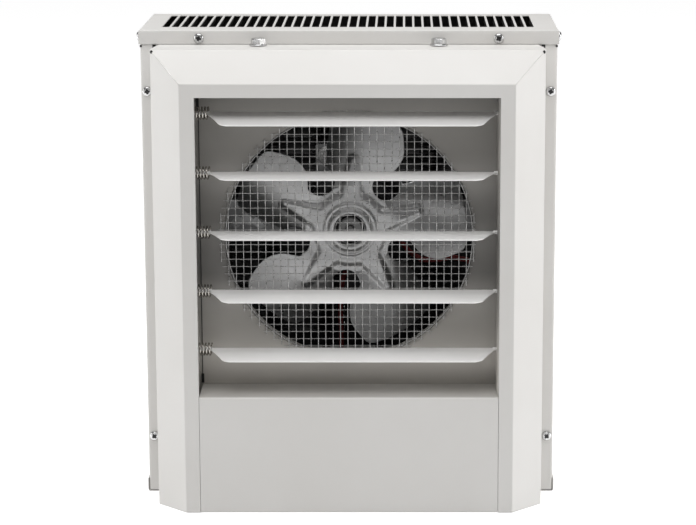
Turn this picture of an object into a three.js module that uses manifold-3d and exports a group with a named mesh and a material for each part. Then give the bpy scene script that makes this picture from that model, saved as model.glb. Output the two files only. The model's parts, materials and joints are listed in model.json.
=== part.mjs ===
// Ceiling mounted fan heater: a sheet-metal case with a bevelled picture frame on its front,
// five adjustable louvers on spring-loaded pivots, a stamped five-blade fan behind a wire guard,
// finned heating elements and a wiring compartment behind the lower panel.
// Millimetres. X runs across the front, Y from the front to the back, Z up.
// The origin is the middle of the base, under the middle of the case.

import * as THREE from 'three';
import Module from 'manifold-3d';
import { mergeVertices } from 'three/addons/utils/BufferGeometryUtils.js';

const wasm = await Module();
wasm.setup();

// ---------------------------------------------------------------- driving dimensions

// Sheet metal and clearances.
const sheet = 0.9;
const gap = 0.3;
const bend_radius = 1.8;
const running_gap = 0.6;

// How far a cutting tool reaches past the face that it opens.
const overcut = 1;

// Case.
const case_width = 354;
const case_depth = 128;
const case_height = 406.4;
const cap_flange = 12;
const pan_flange = 11.5;
const sill_height = 20;
const front_flange = 19;
const header_height = 21;
const header_return = 15;
const rear_return = 12;

// Vent slots in the cap, each with its lanced tab bent down.
const vent_count = 40;
const vent_pitch = 8;
const vent_width = 6.2;
const vent_length = 92;
const vent_setback = 23;
const vent_shift = -1.2;
const tab_length = 5.4;
const tab_angle = THREE.MathUtils.degToRad(80);

// Intake slots in the rear panel, each under a hood lanced inwards from its upper edge.
const intake_columns = 2;
const intake_rows = 16;
const intake_column_pitch = 164;
const intake_row_pitch = 15;
const intake_width = 148;
const intake_height = 9;
const hood_angle = THREE.MathUtils.degToRad(30);

// Front frame and its opening.
const frame_inset = 12;
const frame_depth = 63.5;
const frame_bevel = 25.8;
const band_width = 12.2;
const band_top = 11.1;
const frame_lip = 4;
const relief_length = 26;
const relief_width = 4.5;

// Lower panel and the compartment behind it.
const panel_height = 101.8;
const panel_return = 10;

// Fan partition, orifice and guard.
const partition_setback = 17;
const partition_tail = 14;
const axis_height = 231;
const orifice_diameter = 211.6;
const orifice_roll = 4;
const orifice_depth = 12;
const orifice_seat = 1;
const orifice_sides = 44;
const guard_diameter = 220;
const guard_pitch = 19.05;
const guard_wire = 1.2;
const guard_edge = 4;
const guard_shift = -1.5;

// Louver box, louvers and springs.
const louver_count = 5;
const louver_drop = 16.2;
const louver_rise = 36;
const louver_setback = 38;
const louver_chord = 28;
const louver_tail = 1.8;
const louver_crown = 0.9;
const louver_crown_at = 0.47;
const louver_slant = 14;
const louver_corner = 4;
const louver_tilts = [15.9, 4.1, 4.1, 10.7, 11.1];
const pin_diameter = 3.2;
const pin_overhang = 1.4;
const box_spare = 0.4;
const box_shift = -1.8;
const channel_leg = 11;
const channel_notch = 9;
const spring_length = 10.7;
const spring_diameter = 9.5;
const spring_wire = 1.2;
const spring_curls = 4.5;
const spring_overlap = 1;
const curl_steps = 8;
const curl_sides = 5;

// Fan.
const fan_diameter = 203;
const fan_thickness = 1.2;
const fan_setback = 20;
const fan_blades = 5;
const fan_phase = 11.4;
const blade_columns = 9;
const blade_lead = -30;
const blade_advance = 22;
const blade_pitch = 44;
const blade_curl = 60;
const curl_start = -5;
const hub_diameter = 76;
const hub_thickness = 1.4;
const star_diameter = 62;
const star_lead = 3.6;
const hub_crown = 4.2;
const arm_length = 63.6;
const arm_root_width = 22;
const arm_tip_width = 5.6;
const arm_rise = 2.4;
const boss_diameter = 36;
const boss_step = 5.5;
const star_step = 2.4;
const notch_diameter = 24.5;
const notch_circle = 97.2;
const notch_angle = 38;
const hub_sides = 30;
const collar_diameter = 21.4;
const collar_flange = 3;
const barrel_diameter = 15.4;
const set_screw_diameter = 4;

// Motor.
const motor_diameter = 84;
const motor_length = 48;
const motor_gap = 14;
const motor_groove = 1.6;
const motor_land = 4;
const motor_sides = 20;
const bell_length = 9;
const bell_step = 3;
const bell_round = 7;
const bell_boss = 25.6;
const shaft_diameter = 8;
const shaft_nose = 2;
const strap_width = 28;
const strap_thickness = 2;
const strap_foot = 12;
const strap_window = 16;
const stud_circle = 76;
const stud_diameter = 5;
const stud_depth = 2.5;
const stud_proud = 0.5;
const nut_width = 8;
const nut_height = 3.6;

// Heating elements.
const element_count = 3;
const element_pitch = 96;
const element_leg_spacing = 48;
const element_tube = 8;
const element_headroom = 64.4;
const element_clear = 19;
const fin_diameter = 25;
const fin_thickness = 0.8;
const fin_pitch = 36;
const fin_count = 6;
const fin_start = 22;
const terminal_diameter = 4;
const terminal_length = 12;
const terminal_drop = 15;
const support_drop = 7;
const support_width = 22;
const support_thickness = 1.2;

// Over-temperature cut-out.
const cutout_diameter = 16;
const cutout_flange = 2.5;
const cutout_can = 12.8;
const cutout_length = 9;
const cutout_tab = [0.8, 6, 6];
const cutout_tab_spacing = 7.2;
const cutout_window = 8;
const cutout_reach = 22;
const cutout_margin = 2;
const cutout_rise = 4;

// Wiring compartment.
const contactor_base = [46, 58, 37];
const contactor_tower = [35, 30, 52];
const contactor_well = [7, 10, 8];
const contactor_well_pitch = [14, 46];
const contactor_at = [-70, -8];
const terminal_block_size = [70, 26, 13];
const terminal_block_at = [40, -22];
const terminal_ways = 4;
const barrier_height = 24;
const barrier_thickness = 2.4;
const lug_size = [12, 16, 10];
const lug_bore = 5;
const lug_bore_height = 4.2;
const lug_screw = 5;
const lug_screw_proud = 3;
const lug_at = [120, -22];
const lead_diameter = 5;
const lead_steps = 13;
const grommet_diameter = 16;
const grommet_height = 5;
const grommet_groove = 2;
const grommet_sides = 10;
const lower_lead_x = -9;
const side_lead_x = 120;
const side_lead_drop = 35;
const lead_bend = 18;
const lead_tail = 12;

// Fasteners.
const screw_head = 8.5;
const screw_crown = 6.3;
const screw_head_height = 2.6;
const screw_rim = 1;
const screw_sides = 10;
const screw_shank = 4.2;
const screw_length = 9;
const cap_screw_x = 127;
const cap_screw_drop = 7;
const side_screw_setback = 12;
const flange_screw_inset = 5.5;
const flange_screw_drop = 52.4;
const flange_screw_rise = 50.5;
const bolt_x = 76.2;
const bolt_setback = 9.8;
const bolt_shank = 6.4;
const bolt_length = 14;
const bolt_hex = 11.1;
const bolt_head_height = 5;
const washer_diameter = 15.5;
const washer_height = 1.2;

// ---------------------------------------------------------------- derived places

const case_half = case_width / 2;
const case_front = -case_depth / 2;
const case_back = case_depth / 2;
const inner_half = case_half - sheet;
const inner_back = case_back - sheet;
const wrap = gap + sheet;
const roof = case_height - sheet;
const wall_base = wrap + gap;
const wall_top = roof - 2 * gap;

const frame_half = case_half - frame_inset;
const frame_top = case_height - cap_flange - gap;
const frame_front = case_front - frame_depth;
const frame_rear = case_front - gap;
const opening_half = frame_half - frame_bevel - band_width;
const opening_top = frame_top - frame_bevel - band_top;

const partition_face = case_front - partition_setback;
const divider_top = panel_height - gap;
const divider_base = divider_top - sheet;
const louver_y = case_front - louver_setback;
const box_left = box_shift - opening_half - box_spare;
const box_right = box_shift + opening_half + box_spare;
const louver_top = opening_top - louver_drop;
const louver_pitch = (louver_top - panel_height - louver_rise) / (louver_count - 1);

const fan_y = case_front + fan_setback;
const motor_front = fan_y + fan_thickness + motor_gap;
const motor_back = motor_front + motor_length;
const strap_front = motor_back + gap;
const strap_back = strap_front + strap_thickness;
const element_y = strap_back + element_clear;
const element_top = case_height - element_headroom;

// ---------------------------------------------------------------- geometry helpers

function toSolid(geometry) {
  geometry.deleteAttribute('normal');
  geometry.deleteAttribute('uv');
  const merged = mergeVertices(geometry, 1e-5);
  const mesh = new wasm.Mesh({
    numProp: 3,
    vertProperties: new Float32Array(merged.attributes.position.array),
    triVerts: new Uint32Array(merged.index.array),
  });
  return new wasm.Manifold(mesh);
}

function toGeometry(solid) {
  const mesh = solid.getMesh();
  const geometry = new THREE.BufferGeometry();
  geometry.setAttribute('position', new THREE.BufferAttribute(mesh.vertProperties, 3));
  geometry.setIndex(new THREE.BufferAttribute(mesh.triVerts, 1));
  geometry.computeVertexNormals();
  return geometry;
}

function join(solids) {
  return solids.reduce((whole, piece) => whole.add(piece));
}

function cut(solid, tools) {
  return tools.reduce((whole, tool) => whole.subtract(tool), solid);
}

function box(x0, x1, y0, y1, z0, z1) {
  const geometry = new THREE.BoxGeometry(x1 - x0, y1 - y0, z1 - z0);
  geometry.translate((x0 + x1) / 2, (y0 + y1) / 2, (z0 + z1) / 2);
  return toSolid(geometry);
}

// A flat outline pushed along an axis. Along x the outline holds [y, z], along y [x, z], along z [x, y].
const EXTRUDE_BASIS = {
  x: [[0, 1, 0], [0, 0, 1], [1, 0, 0]],
  y: [[1, 0, 0], [0, 0, 1], [0, -1, 0]],
  z: [[1, 0, 0], [0, 1, 0], [0, 0, 1]],
};

function extrude(axis, outline, from, to) {
  const shape = new THREE.Shape(outline.map(([u, v]) => new THREE.Vector2(u, v)));
  const geometry = new THREE.ExtrudeGeometry(shape, { depth: to - from, bevelEnabled: false });
  const [u, v, w] = EXTRUDE_BASIS[axis].map((direction) => new THREE.Vector3(...direction));
  geometry.applyMatrix4(new THREE.Matrix4().makeBasis(u, v, w));
  geometry.translate(...w.clone().multiplyScalar(axis === 'y' ? -to : from).toArray());
  return toSolid(geometry);
}

// A round bar along an axis, centred on the point.
function bar(axis, diameter, from, to, centre, sides = 12) {
  const geometry = new THREE.CylinderGeometry(diameter / 2, diameter / 2, to - from, sides);
  const middle = (from + to) / 2;
  if (axis === 'x') {
    geometry.rotateZ(-Math.PI / 2);
    geometry.translate(middle, centre[0], centre[1]);
  } else if (axis === 'y') {
    geometry.translate(centre[0], middle, centre[1]);
  } else {
    geometry.rotateX(Math.PI / 2);
    geometry.translate(centre[0], centre[1], middle);
  }
  return toSolid(geometry);
}

function hexagon(width) {
  const corner = width / 2 / Math.cos(Math.PI / 6);
  return Array.from({ length: 6 }, (_, i) => [
    corner * Math.cos((i * Math.PI) / 3),
    corner * Math.sin((i * Math.PI) / 3),
  ]);
}

// A closed [radius, y] profile revolved about the Y axis.
function revolve(profile, segments) {
  const closed = [...profile, profile[0]];
  const area = THREE.ShapeUtils.area(profile.map(([r, y]) => new THREE.Vector2(r, y)));
  const points = closed.map(([r, y]) => new THREE.Vector2(r, y));
  return toSolid(new THREE.LatheGeometry(area > 0 ? points : points.reverse(), segments));
}

// Every inner corner of an open path becomes an arc, limited by the shorter of its two legs.
function roundCorners(path, radius, steps = 2) {
  const rounded = [path[0]];
  for (let i = 1; i < path.length - 1; i++) {
    const corner = new THREE.Vector2(...path[i]);
    const back = new THREE.Vector2(...path[i - 1]).sub(corner);
    const on = new THREE.Vector2(...path[i + 1]).sub(corner);
    const room = Math.min(back.length(), on.length()) * 0.45;
    const half = back.angleTo(on) / 2;
    const setback = Math.min(radius / Math.tan(half), room);
    const arcRadius = setback * Math.tan(half);
    back.normalize();
    on.normalize();
    const centre = back.clone().add(on).setLength(arcRadius / Math.sin(half)).add(corner);
    const start = back.clone().multiplyScalar(setback).add(corner).sub(centre);
    const turn = Math.sign(back.cross(on)) * -(Math.PI - 2 * half);
    for (let k = 0; k <= steps; k++) {
      const point = start.clone().rotateAround(new THREE.Vector2(), (turn * k) / steps).add(centre);
      rounded.push([point.x, point.y]);
    }
  }
  rounded.push(path[path.length - 1]);
  return rounded;
}

// The path moved sideways, to its left for a positive distance.
function offsetPath(path, distance) {
  const points = path.map(([u, v]) => new THREE.Vector2(u, v));
  const normals = points.slice(1).map((point, i) => {
    const along = point.clone().sub(points[i]).normalize();
    return new THREE.Vector2(-along.y, along.x);
  });
  return points.map((point, i) => {
    const before = normals[Math.max(i - 1, 0)];
    const after = normals[Math.min(i, normals.length - 1)];
    const mitre = before.clone().add(after).divideScalar(1 + before.dot(after));
    return [point.x + mitre.x * distance, point.y + mitre.y * distance];
  });
}

// Sheet metal folded along a path: the path is the outer face, the metal lies on its left.
function foldedSheet(axis, path, from, to, thickness = sheet, radius = bend_radius) {
  const outer = roundCorners(path, radius);
  const inner = offsetPath(outer, thickness);
  return extrude(axis, [...outer, ...inner.reverse()], from, to);
}

// A round tube along a list of points, with flat ends.
function tube(points, diameter, sides) {
  const count = points.length;
  const tangents = points.map((point, i) => {
    const before = points[Math.max(i - 1, 0)];
    const after = points[Math.min(i + 1, count - 1)];
    return after.clone().sub(before).normalize();
  });
  const helper = Math.abs(tangents[0].z) > 0.9 ? new THREE.Vector3(1, 0, 0) : new THREE.Vector3(0, 0, 1);
  let side = helper.clone().cross(tangents[0]).normalize();
  const positions = [];
  for (let i = 0; i < count; i++) {
    side = side.clone().addScaledVector(tangents[i], -side.dot(tangents[i])).normalize();
    const up = tangents[i].clone().cross(side);
    for (let k = 0; k < sides; k++) {
      const angle = (k / sides) * 2 * Math.PI;
      const offset = side.clone().multiplyScalar(Math.cos(angle)).addScaledVector(up, Math.sin(angle));
      positions.push(...points[i].clone().addScaledVector(offset, diameter / 2).toArray());
    }
  }
  positions.push(...points[0].toArray(), ...points[count - 1].toArray());
  const first = count * sides;
  const last = first + 1;
  const triangles = [];
  for (let k = 0; k < sides; k++) {
    const next = (k + 1) % sides;
    triangles.push(first, next, k);
    triangles.push(last, (count - 1) * sides + k, (count - 1) * sides + next);
    for (let i = 0; i < count - 1; i++) {
      const a = i * sides + k;
      const b = i * sides + next;
      triangles.push(a, b, a + sides, b, b + sides, a + sides);
    }
  }
  const geometry = new THREE.BufferGeometry();
  geometry.setAttribute('position', new THREE.Float32BufferAttribute(positions, 3));
  geometry.setIndex(triangles);
  return geometry;
}

// ---------------------------------------------------------------- materials

function finish(color, roughness, metalness) {
  return () => new THREE.MeshStandardMaterial({ color, roughness, metalness });
}

const paint = finish(0xd9d7d0, 0.42, 0.0);
const innerPaint = finish(0xa7a49c, 0.5, 0.0);
const zinc = finish(0xb9bcc0, 0.32, 0.9);
const aluminium = finish(0xa9abad, 0.38, 0.9);
const wire = finish(0xb4b4b0, 0.35, 0.9);
const springSteel = finish(0x8f8b86, 0.35, 0.9);
const motorPaint = finish(0x26272a, 0.55, 0.2);
const elementSteel = finish(0x4c4a47, 0.5, 0.8);
const galvanised = finish(0x8e9194, 0.45, 0.8);
const phenolic = finish(0x1d1d1f, 0.5, 0.0);
const ceramic = finish(0xe9e7e0, 0.45, 0.0);
const rubber = finish(0x18181a, 0.8, 0.0);
const redLead = finish(0x7c1616, 0.55, 0.0);
const brass = finish(0xb08d4a, 0.35, 0.9);

const heater = new THREE.Group();

function addPiece(name, shape, material, parent = heater) {
  const geometry = shape.isBufferGeometry ? shape : toGeometry(shape);
  const mesh = new THREE.Mesh(geometry, material());
  mesh.name = name;
  parent.add(mesh);
  return mesh;
}

// ---------------------------------------------------------------- fastener places

const screw_hole = screw_shank + 2 * gap;
const cap_screw_z = case_height - cap_screw_drop;
const side_screw_y = case_front + side_screw_setback;
const flange_screw_x = case_half - flange_screw_inset;
const flange_screw_heights = [case_height - flange_screw_drop, flange_screw_rise];
const bolt_y = case_front - bolt_setback;

// ---------------------------------------------------------------- case

function sideScrewHole(x) {
  const reach = sheet + overcut;
  return bar('x', screw_hole, x - reach, x + reach, [side_screw_y, cap_screw_z]);
}

function frontScrewHole(side, front) {
  const place = [side * cap_screw_x, cap_screw_z];
  return bar('y', screw_hole, front - overcut, front + sheet + overcut, place);
}

function sidePanel(side) {
  const path = [
    [side * (case_half - front_flange), case_front],
    [side * case_half, case_front],
    [side * case_half, case_back],
  ];
  const wall = foldedSheet('z', path, wall_base, wall_top, side * sheet);
  const flangeHoles = flange_screw_heights.map((z) => bar(
    'y', screw_hole, case_front - overcut, case_front + sheet + overcut, [side * flange_screw_x, z],
  ));
  return cut(wall, [...flangeHoles, sideScrewHole(side * case_half)]);
}

// The solid block that a lid wraps, with its top edges rounded.
function lidBlock(half, front, back, base, top, radius) {
  const across = roundCorners([[-half, base], [-half, top], [half, top], [half, base]], radius);
  const along = roundCorners([[front, base], [front, top], [back, top], [back, base]], radius);
  return extrude('y', across, front, back).intersect(extrude('x', along, -half, half));
}

const cap_half = case_half + wrap;
const cap_front = case_front - wrap;
const cap_back = case_back + wrap;
const vent_front = cap_front + vent_setback;

function ventX(i) {
  return vent_shift + (i - (vent_count - 1) / 2) * vent_pitch;
}

function ventTab(i) {
  const hinge = ventX(i) + vent_width / 2;
  const tab = box(-tab_length, 0, vent_front + gap, vent_front + vent_length - gap, -sheet, 0);
  const bent = tab.rotate([0, -THREE.MathUtils.radToDeg(tab_angle), 0]);
  return bent.translate([hinge + sheet, 0, case_height - sheet / 2]);
}

function topCap() {
  const base = case_height - cap_flange;
  const outer = lidBlock(cap_half, cap_front, cap_back, base, case_height, bend_radius);
  const inner = lidBlock(
    cap_half - sheet, cap_front + sheet, cap_back - sheet, base - overcut, roof, bend_radius - sheet,
  );
  const vents = Array.from({ length: vent_count }, (_, i) => box(
    ventX(i) - vent_width / 2, ventX(i) + vent_width / 2,
    vent_front, vent_front + vent_length, roof - overcut, case_height + overcut,
  ));
  const tabs = Array.from({ length: vent_count }, (_, i) => ventTab(i));
  const screwHoles = [-1, 1].flatMap((side) => [
    frontScrewHole(side, cap_front), sideScrewHole(side * cap_half),
  ]);
  const lid = cut(outer.subtract(inner), [join(vents), ...screwHoles]);
  return lid.add(join(tabs).trimByPlane([0, 0, -1], -case_height));
}

function bottomPan() {
  const path = [[-cap_half, pan_flange], [-cap_half, 0], [cap_half, 0], [cap_half, pan_flange]];
  const tray = foldedSheet('y', path, case_front, cap_back);
  const rearFlange = box(-cap_half, cap_half, cap_back - sheet, cap_back, 0, pan_flange);
  const sill_half = case_half - front_flange - gap;
  const sill = box(-sill_half, sill_half, case_front, case_front + sheet, 0, sill_height);
  return join([tray, rearFlange, sill]);
}

const lining_half = inner_half - gap;

function intakeHood(x, top) {
  const half = intake_width / 2 - gap;
  const flap = box(-half, half, -sheet, 0, -intake_height, sheet / 2);
  return flap.rotate([-THREE.MathUtils.radToDeg(hood_angle), 0, 0]).translate([x, case_back, top]);
}

function rearPanel() {
  const path = [
    [-lining_half, case_back - rear_return],
    [-lining_half, case_back],
    [lining_half, case_back],
    [lining_half, case_back - rear_return],
  ];
  const plate = foldedSheet('z', path, wall_base, wall_top, -sheet);
  const slots = [];
  const hoods = [];
  for (let row = 0; row < intake_rows; row++) {
    const top = axis_height + (row - (intake_rows - 1) / 2) * intake_row_pitch + intake_height / 2;
    for (let column = 0; column < intake_columns; column++) {
      const x = (column - (intake_columns - 1) / 2) * intake_column_pitch;
      slots.push(box(
        x - intake_width / 2, x + intake_width / 2, inner_back - overcut, case_back + overcut,
        top - intake_height, top,
      ));
      hoods.push(intakeHood(x, top));
    }
  }
  return plate.subtract(join(slots)).add(join(hoods));
}

function headerRail() {
  const top = roof - gap;
  const path = [
    [case_front, top - header_height],
    [case_front, top],
    [case_front + header_return, top],
  ];
  const half = case_half - front_flange - gap;
  const rail = foldedSheet('x', path, -half, half, -sheet);
  return cut(rail, [-1, 1].map((side) => frontScrewHole(side, case_front)));
}

const element_legs = Array.from({ length: element_count }, (_, i) => {
  const middle = (i - (element_count - 1) / 2) * element_pitch;
  return [middle - element_leg_spacing / 2, middle + element_leg_spacing / 2];
});
const lead_y = (motor_front + motor_back) / 2;

function dividerFloor() {
  const neck = case_half - front_flange - gap;
  const front = partition_face + sheet + gap;
  const shoulder = case_front + sheet + gap;
  const waist = case_back - rear_return - gap;
  const tail = lining_half - wrap;
  const back = inner_back - gap;
  const right = [
    [neck, front], [neck, shoulder], [lining_half, shoulder],
    [lining_half, waist], [tail, waist], [tail, back],
  ];
  const left = right.map(([x, y]) => [-x, y]).reverse();
  const outline = [...right, ...left];
  const plate = extrude('z', outline, divider_base, divider_top);
  const legHoles = element_legs.flat().map((x) => bar(
    'z', element_tube + 2 * gap, divider_base - overcut, divider_top + overcut, [x, element_y], 8,
  ));
  const lead_hole = grommet_diameter - 2 * grommet_groove + 2 * gap;
  const leadHoles = [lower_lead_x, side_lead_x].map((x) => bar(
    'z', lead_hole, divider_base - overcut, divider_top + overcut, [x, lead_y], grommet_sides,
  ));
  return cut(plate, [...legHoles, ...leadHoles]);
}

// ---------------------------------------------------------------- partition and guard

const partition_half = frame_half - wrap;
const partition_top = frame_top - wrap;

// The holes of the two frame bolts through a top flange whose upper face is at the height given.
function boltHoles(top) {
  return [-1, 1].map((side) => bar(
    'z', bolt_shank + 2 * gap, top - sheet - overcut, top + overcut, [side * bolt_x, bolt_y],
  ));
}

function partitionBlock(half, face, base, top, back, radius) {
  const plan = roundCorners([[-half, back], [-half, face], [half, face], [half, back]], radius);
  const flank = roundCorners([[back, top], [face, top], [face, base]], radius);
  const side = [...flank, [back, base]];
  return extrude('z', plan, base, top).intersect(extrude('x', side, -half, half));
}

function orificeRing() {
  const throat = orifice_diameter / 2;
  const roll = Array.from({ length: 3 }, (_, i) => {
    const angle = (i / 2) * (Math.PI / 2);
    return [
      throat + orifice_roll * (1 - Math.sin(angle)),
      partition_face + orifice_roll * (1 - Math.cos(angle)),
    ];
  });
  const mouth = [throat + orifice_roll + orifice_seat, partition_face];
  const path = [mouth, ...roll, [throat, partition_face + orifice_depth]];
  const backs = offsetPath(path, -sheet);
  return revolve([...path, ...backs.reverse()], orifice_sides).translate([0, 0, axis_height]);
}

function fanPartition() {
  const base = panel_height - partition_tail;
  const outer = partitionBlock(partition_half, partition_face, base, partition_top, frame_rear, bend_radius);
  const inner = partitionBlock(
    partition_half - sheet, partition_face + sheet, base - overcut, partition_top - sheet,
    frame_rear + overcut, bend_radius - sheet,
  );
  const mouth = bar(
    'y', orifice_diameter + 2 * orifice_roll, partition_face - overcut, partition_face + sheet + overcut,
    [0, axis_height], orifice_sides,
  );
  return cut(outer.subtract(inner), [mouth, ...boltHoles(partition_top)]).add(orificeRing());
}

function guardMesh() {
  const radius = guard_diameter / 2;
  const front = partition_face - gap - guard_wire;
  const back = partition_face - gap;
  const rows = Math.floor((radius - guard_edge) / guard_pitch);
  const wires = [];
  for (let i = -rows; i <= rows; i++) {
    const offset = i * guard_pitch;
    const reach = Math.sqrt(radius ** 2 - offset ** 2);
    wires.push(box(-reach, reach, front, back, offset - guard_wire / 2, offset + guard_wire / 2));
    wires.push(box(offset - guard_wire / 2, offset + guard_wire / 2, front, back, -reach, reach));
  }
  return join(wires).translate([guard_shift, 0, axis_height]);
}

// ---------------------------------------------------------------- front frame and lower panel

// Half plan of the frame, from its rear edge round the bevels to the other rear edge.
function framePlan(rear) {
  const shoulder = frame_front + frame_bevel;
  const flat = frame_half - frame_bevel;
  return roundCorners([
    [-frame_half, rear], [-frame_half, shoulder], [-flat, frame_front],
    [flat, frame_front], [frame_half, shoulder], [frame_half, rear],
  ], bend_radius);
}

// Side view of the frame's top and face, from the rear edge of its top flange down to the base.
function frameFlank(rear, base) {
  const shoulder = frame_front + frame_bevel;
  return roundCorners([
    [rear, frame_top], [shoulder, frame_top], [frame_front, frame_top - frame_bevel], [frame_front, base],
  ], bend_radius);
}

function frameRelief(side) {
  const outline = [
    [side * (frame_half + overcut), frame_rear + overcut],
    [side * (frame_half - relief_width), frame_rear + overcut],
    [side * (frame_half - sheet), frame_rear - relief_length],
    [side * (frame_half + overcut), frame_rear - relief_length],
  ];
  return extrude('z', outline, frame_top - 2 * sheet, frame_top + overcut);
}

function frontFrame() {
  const outerPlan = framePlan(frame_rear);
  const outerFlank = [...frameFlank(frame_rear, 0), [frame_rear, 0]];
  const outer = extrude('z', outerPlan, 0, frame_top).intersect(
    extrude('x', outerFlank, -frame_half, frame_half),
  );
  const beyond = frame_rear + overcut;
  const innerPlan = offsetPath(framePlan(beyond), sheet);
  const innerFlank = [...offsetPath(frameFlank(beyond, sheet), sheet), [beyond, sheet]];
  const inner = extrude('z', innerPlan, sheet, frame_top).intersect(
    extrude('x', innerFlank, -frame_half, frame_half),
  );
  const opening = box(-opening_half, opening_half, frame_front - overcut, beyond, -overcut, opening_top);
  const shell = cut(outer, [inner, opening, frameRelief(-1), frameRelief(1)]);
  const lip_back = frame_front + sheet + frame_lip;
  const lips = [-1, 1].map((side) => box(
    Math.min(side * opening_half, side * (opening_half + sheet)),
    Math.max(side * opening_half, side * (opening_half + sheet)),
    frame_front + sheet / 2, lip_back, 0, opening_top + sheet,
  ));
  const lintel = box(
    -opening_half - sheet, opening_half + sheet, frame_front + sheet / 2, lip_back,
    opening_top, opening_top + sheet,
  );
  return cut(join([shell, ...lips, lintel]), boltHoles(frame_top));
}

function accessPanel() {
  const half = opening_half - gap;
  const path = [
    [frame_rear, 0],
    [frame_front, 0],
    [frame_front, panel_height],
    [partition_face - gap, panel_height],
  ];
  const panel = foldedSheet('x', path, -half, half, -sheet);
  const returns = [-1, 1].map((side) => box(
    Math.min(side * half, side * (half - sheet)),
    Math.max(side * half, side * (half - sheet)),
    frame_front + sheet / 2, frame_front + sheet + panel_return, sheet / 2, panel_height - sheet / 2,
  ));
  return join([panel, ...returns]);
}

// ---------------------------------------------------------------- louver box

function louverZ(i) {
  return louver_top - i * louver_pitch;
}

// side is -1 for the left channel and 1 for the right one.
function louverChannel(side) {
  const wall = side < 0 ? box_left : box_right;
  const front = frame_front + sheet + gap;
  const back = partition_face - gap;
  const base = panel_height + gap;
  const top = opening_top + channel_leg;
  const leg_front = front + frame_lip + gap;
  const path = [
    [wall + side * channel_leg, leg_front],
    [wall, leg_front],
    [wall, back],
    [wall + side * channel_leg, back],
  ];
  const channel = foldedSheet('z', path, base, top, side * -sheet);
  const reach = channel_leg + overcut;
  const spans = [
    [base - overcut, base + channel_notch],
    [opening_top - channel_notch, top + overcut],
  ];
  const notches = spans.map(([from, to]) => box(
    wall - reach, wall + reach, back - channel_notch, back + overcut, from, to,
  ));
  const holes = Array.from({ length: louver_count }, (_, i) => bar(
    'x', pin_diameter + 2 * running_gap, wall - sheet - overcut, wall + sheet + overcut,
    [louver_y, louverZ(i)], 8,
  ));
  return cut(channel, [...notches, ...holes]);
}

const blade_left = box_left + gap + spring_length - spring_overlap;
const blade_right = box_right - gap;

// One blade in its own frame: the pivot is the X axis and the front edge points to -Y.
function louverBlade() {
  const front = louver_tail - louver_chord;
  const profile = [
    [louver_tail, 0],
    [front * louver_crown_at, louver_crown],
    [front, 0],
  ];
  const fold = foldedSheet('x', profile, blade_left, blade_right, sheet, bend_radius * 2);
  const outline = roundCorners([
    [blade_left, louver_tail],
    [blade_left, -pin_diameter / 4],
    [blade_left + louver_slant, front],
    [blade_right - louver_slant, front],
    [blade_right, -pin_diameter / 4],
    [blade_right, louver_tail],
  ], louver_corner);
  const blade = fold.intersect(extrude('z', outline, -louver_chord / 2, louver_chord / 2));
  const pin_z = -sheet / 2;
  const leftPin = bar(
    'x', pin_diameter, box_left - sheet - pin_overhang, blade_left + pin_diameter, [0, pin_z], 8,
  );
  const rightPin = bar(
    'x', pin_diameter, blade_right - pin_diameter, box_right + sheet + pin_overhang, [0, pin_z], 8,
  );
  return join([blade, leftPin, rightPin]).translate([0, 0, sheet / 2]);
}

function springPoints() {
  const radius = (spring_diameter - spring_wire) / 2;
  const start = box_left + gap + spring_wire / 2;
  const travel = spring_length - spring_wire;
  const steps = Math.round(spring_curls * curl_steps);
  return Array.from({ length: steps + 1 }, (_, k) => {
    const angle = (k / curl_steps) * 2 * Math.PI;
    return new THREE.Vector3(
      start + (travel * k) / steps, radius * Math.cos(angle), radius * Math.sin(angle),
    );
  });
}

// The least clear distance between one curl of the wire and the next.
function leastSpringGap(points) {
  let least = Infinity;
  points.forEach((point, i) => {
    for (let k = i + curl_steps / 2 + 1; k < points.length; k++) {
      least = Math.min(least, point.distanceTo(points[k]) - spring_wire);
    }
  });
  return least;
}

// ---------------------------------------------------------------- fan

// Radius, leading angle and trailing angle of the blade, the angles in degrees from its arm.
const blade_stations = [
  [0.33, -24, 33],
  [0.46, -17, 29],
  [0.55, -24, 28],
  [0.65, -29.5, 25],
  [0.78, -29, 20.5],
  [0.88, -25.5, 18],
  [0.96, -22, 15.5],
  [1.00, -18, 12],
];

// The blade is pitched like a propeller's, its leading edge to the front, and curls back behind its arm.
function bladeSetback(radius, angle) {
  const reach = Math.max(0, radius - hub_diameter / 2) / (fan_diameter / 2 - hub_diameter / 2);
  const sweep = THREE.MathUtils.degToRad(angle - blade_lead);
  const curl = THREE.MathUtils.degToRad(Math.max(0, angle - curl_start));
  return reach * (blade_pitch * sweep + blade_curl * curl ** 2 - blade_advance);
}

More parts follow.
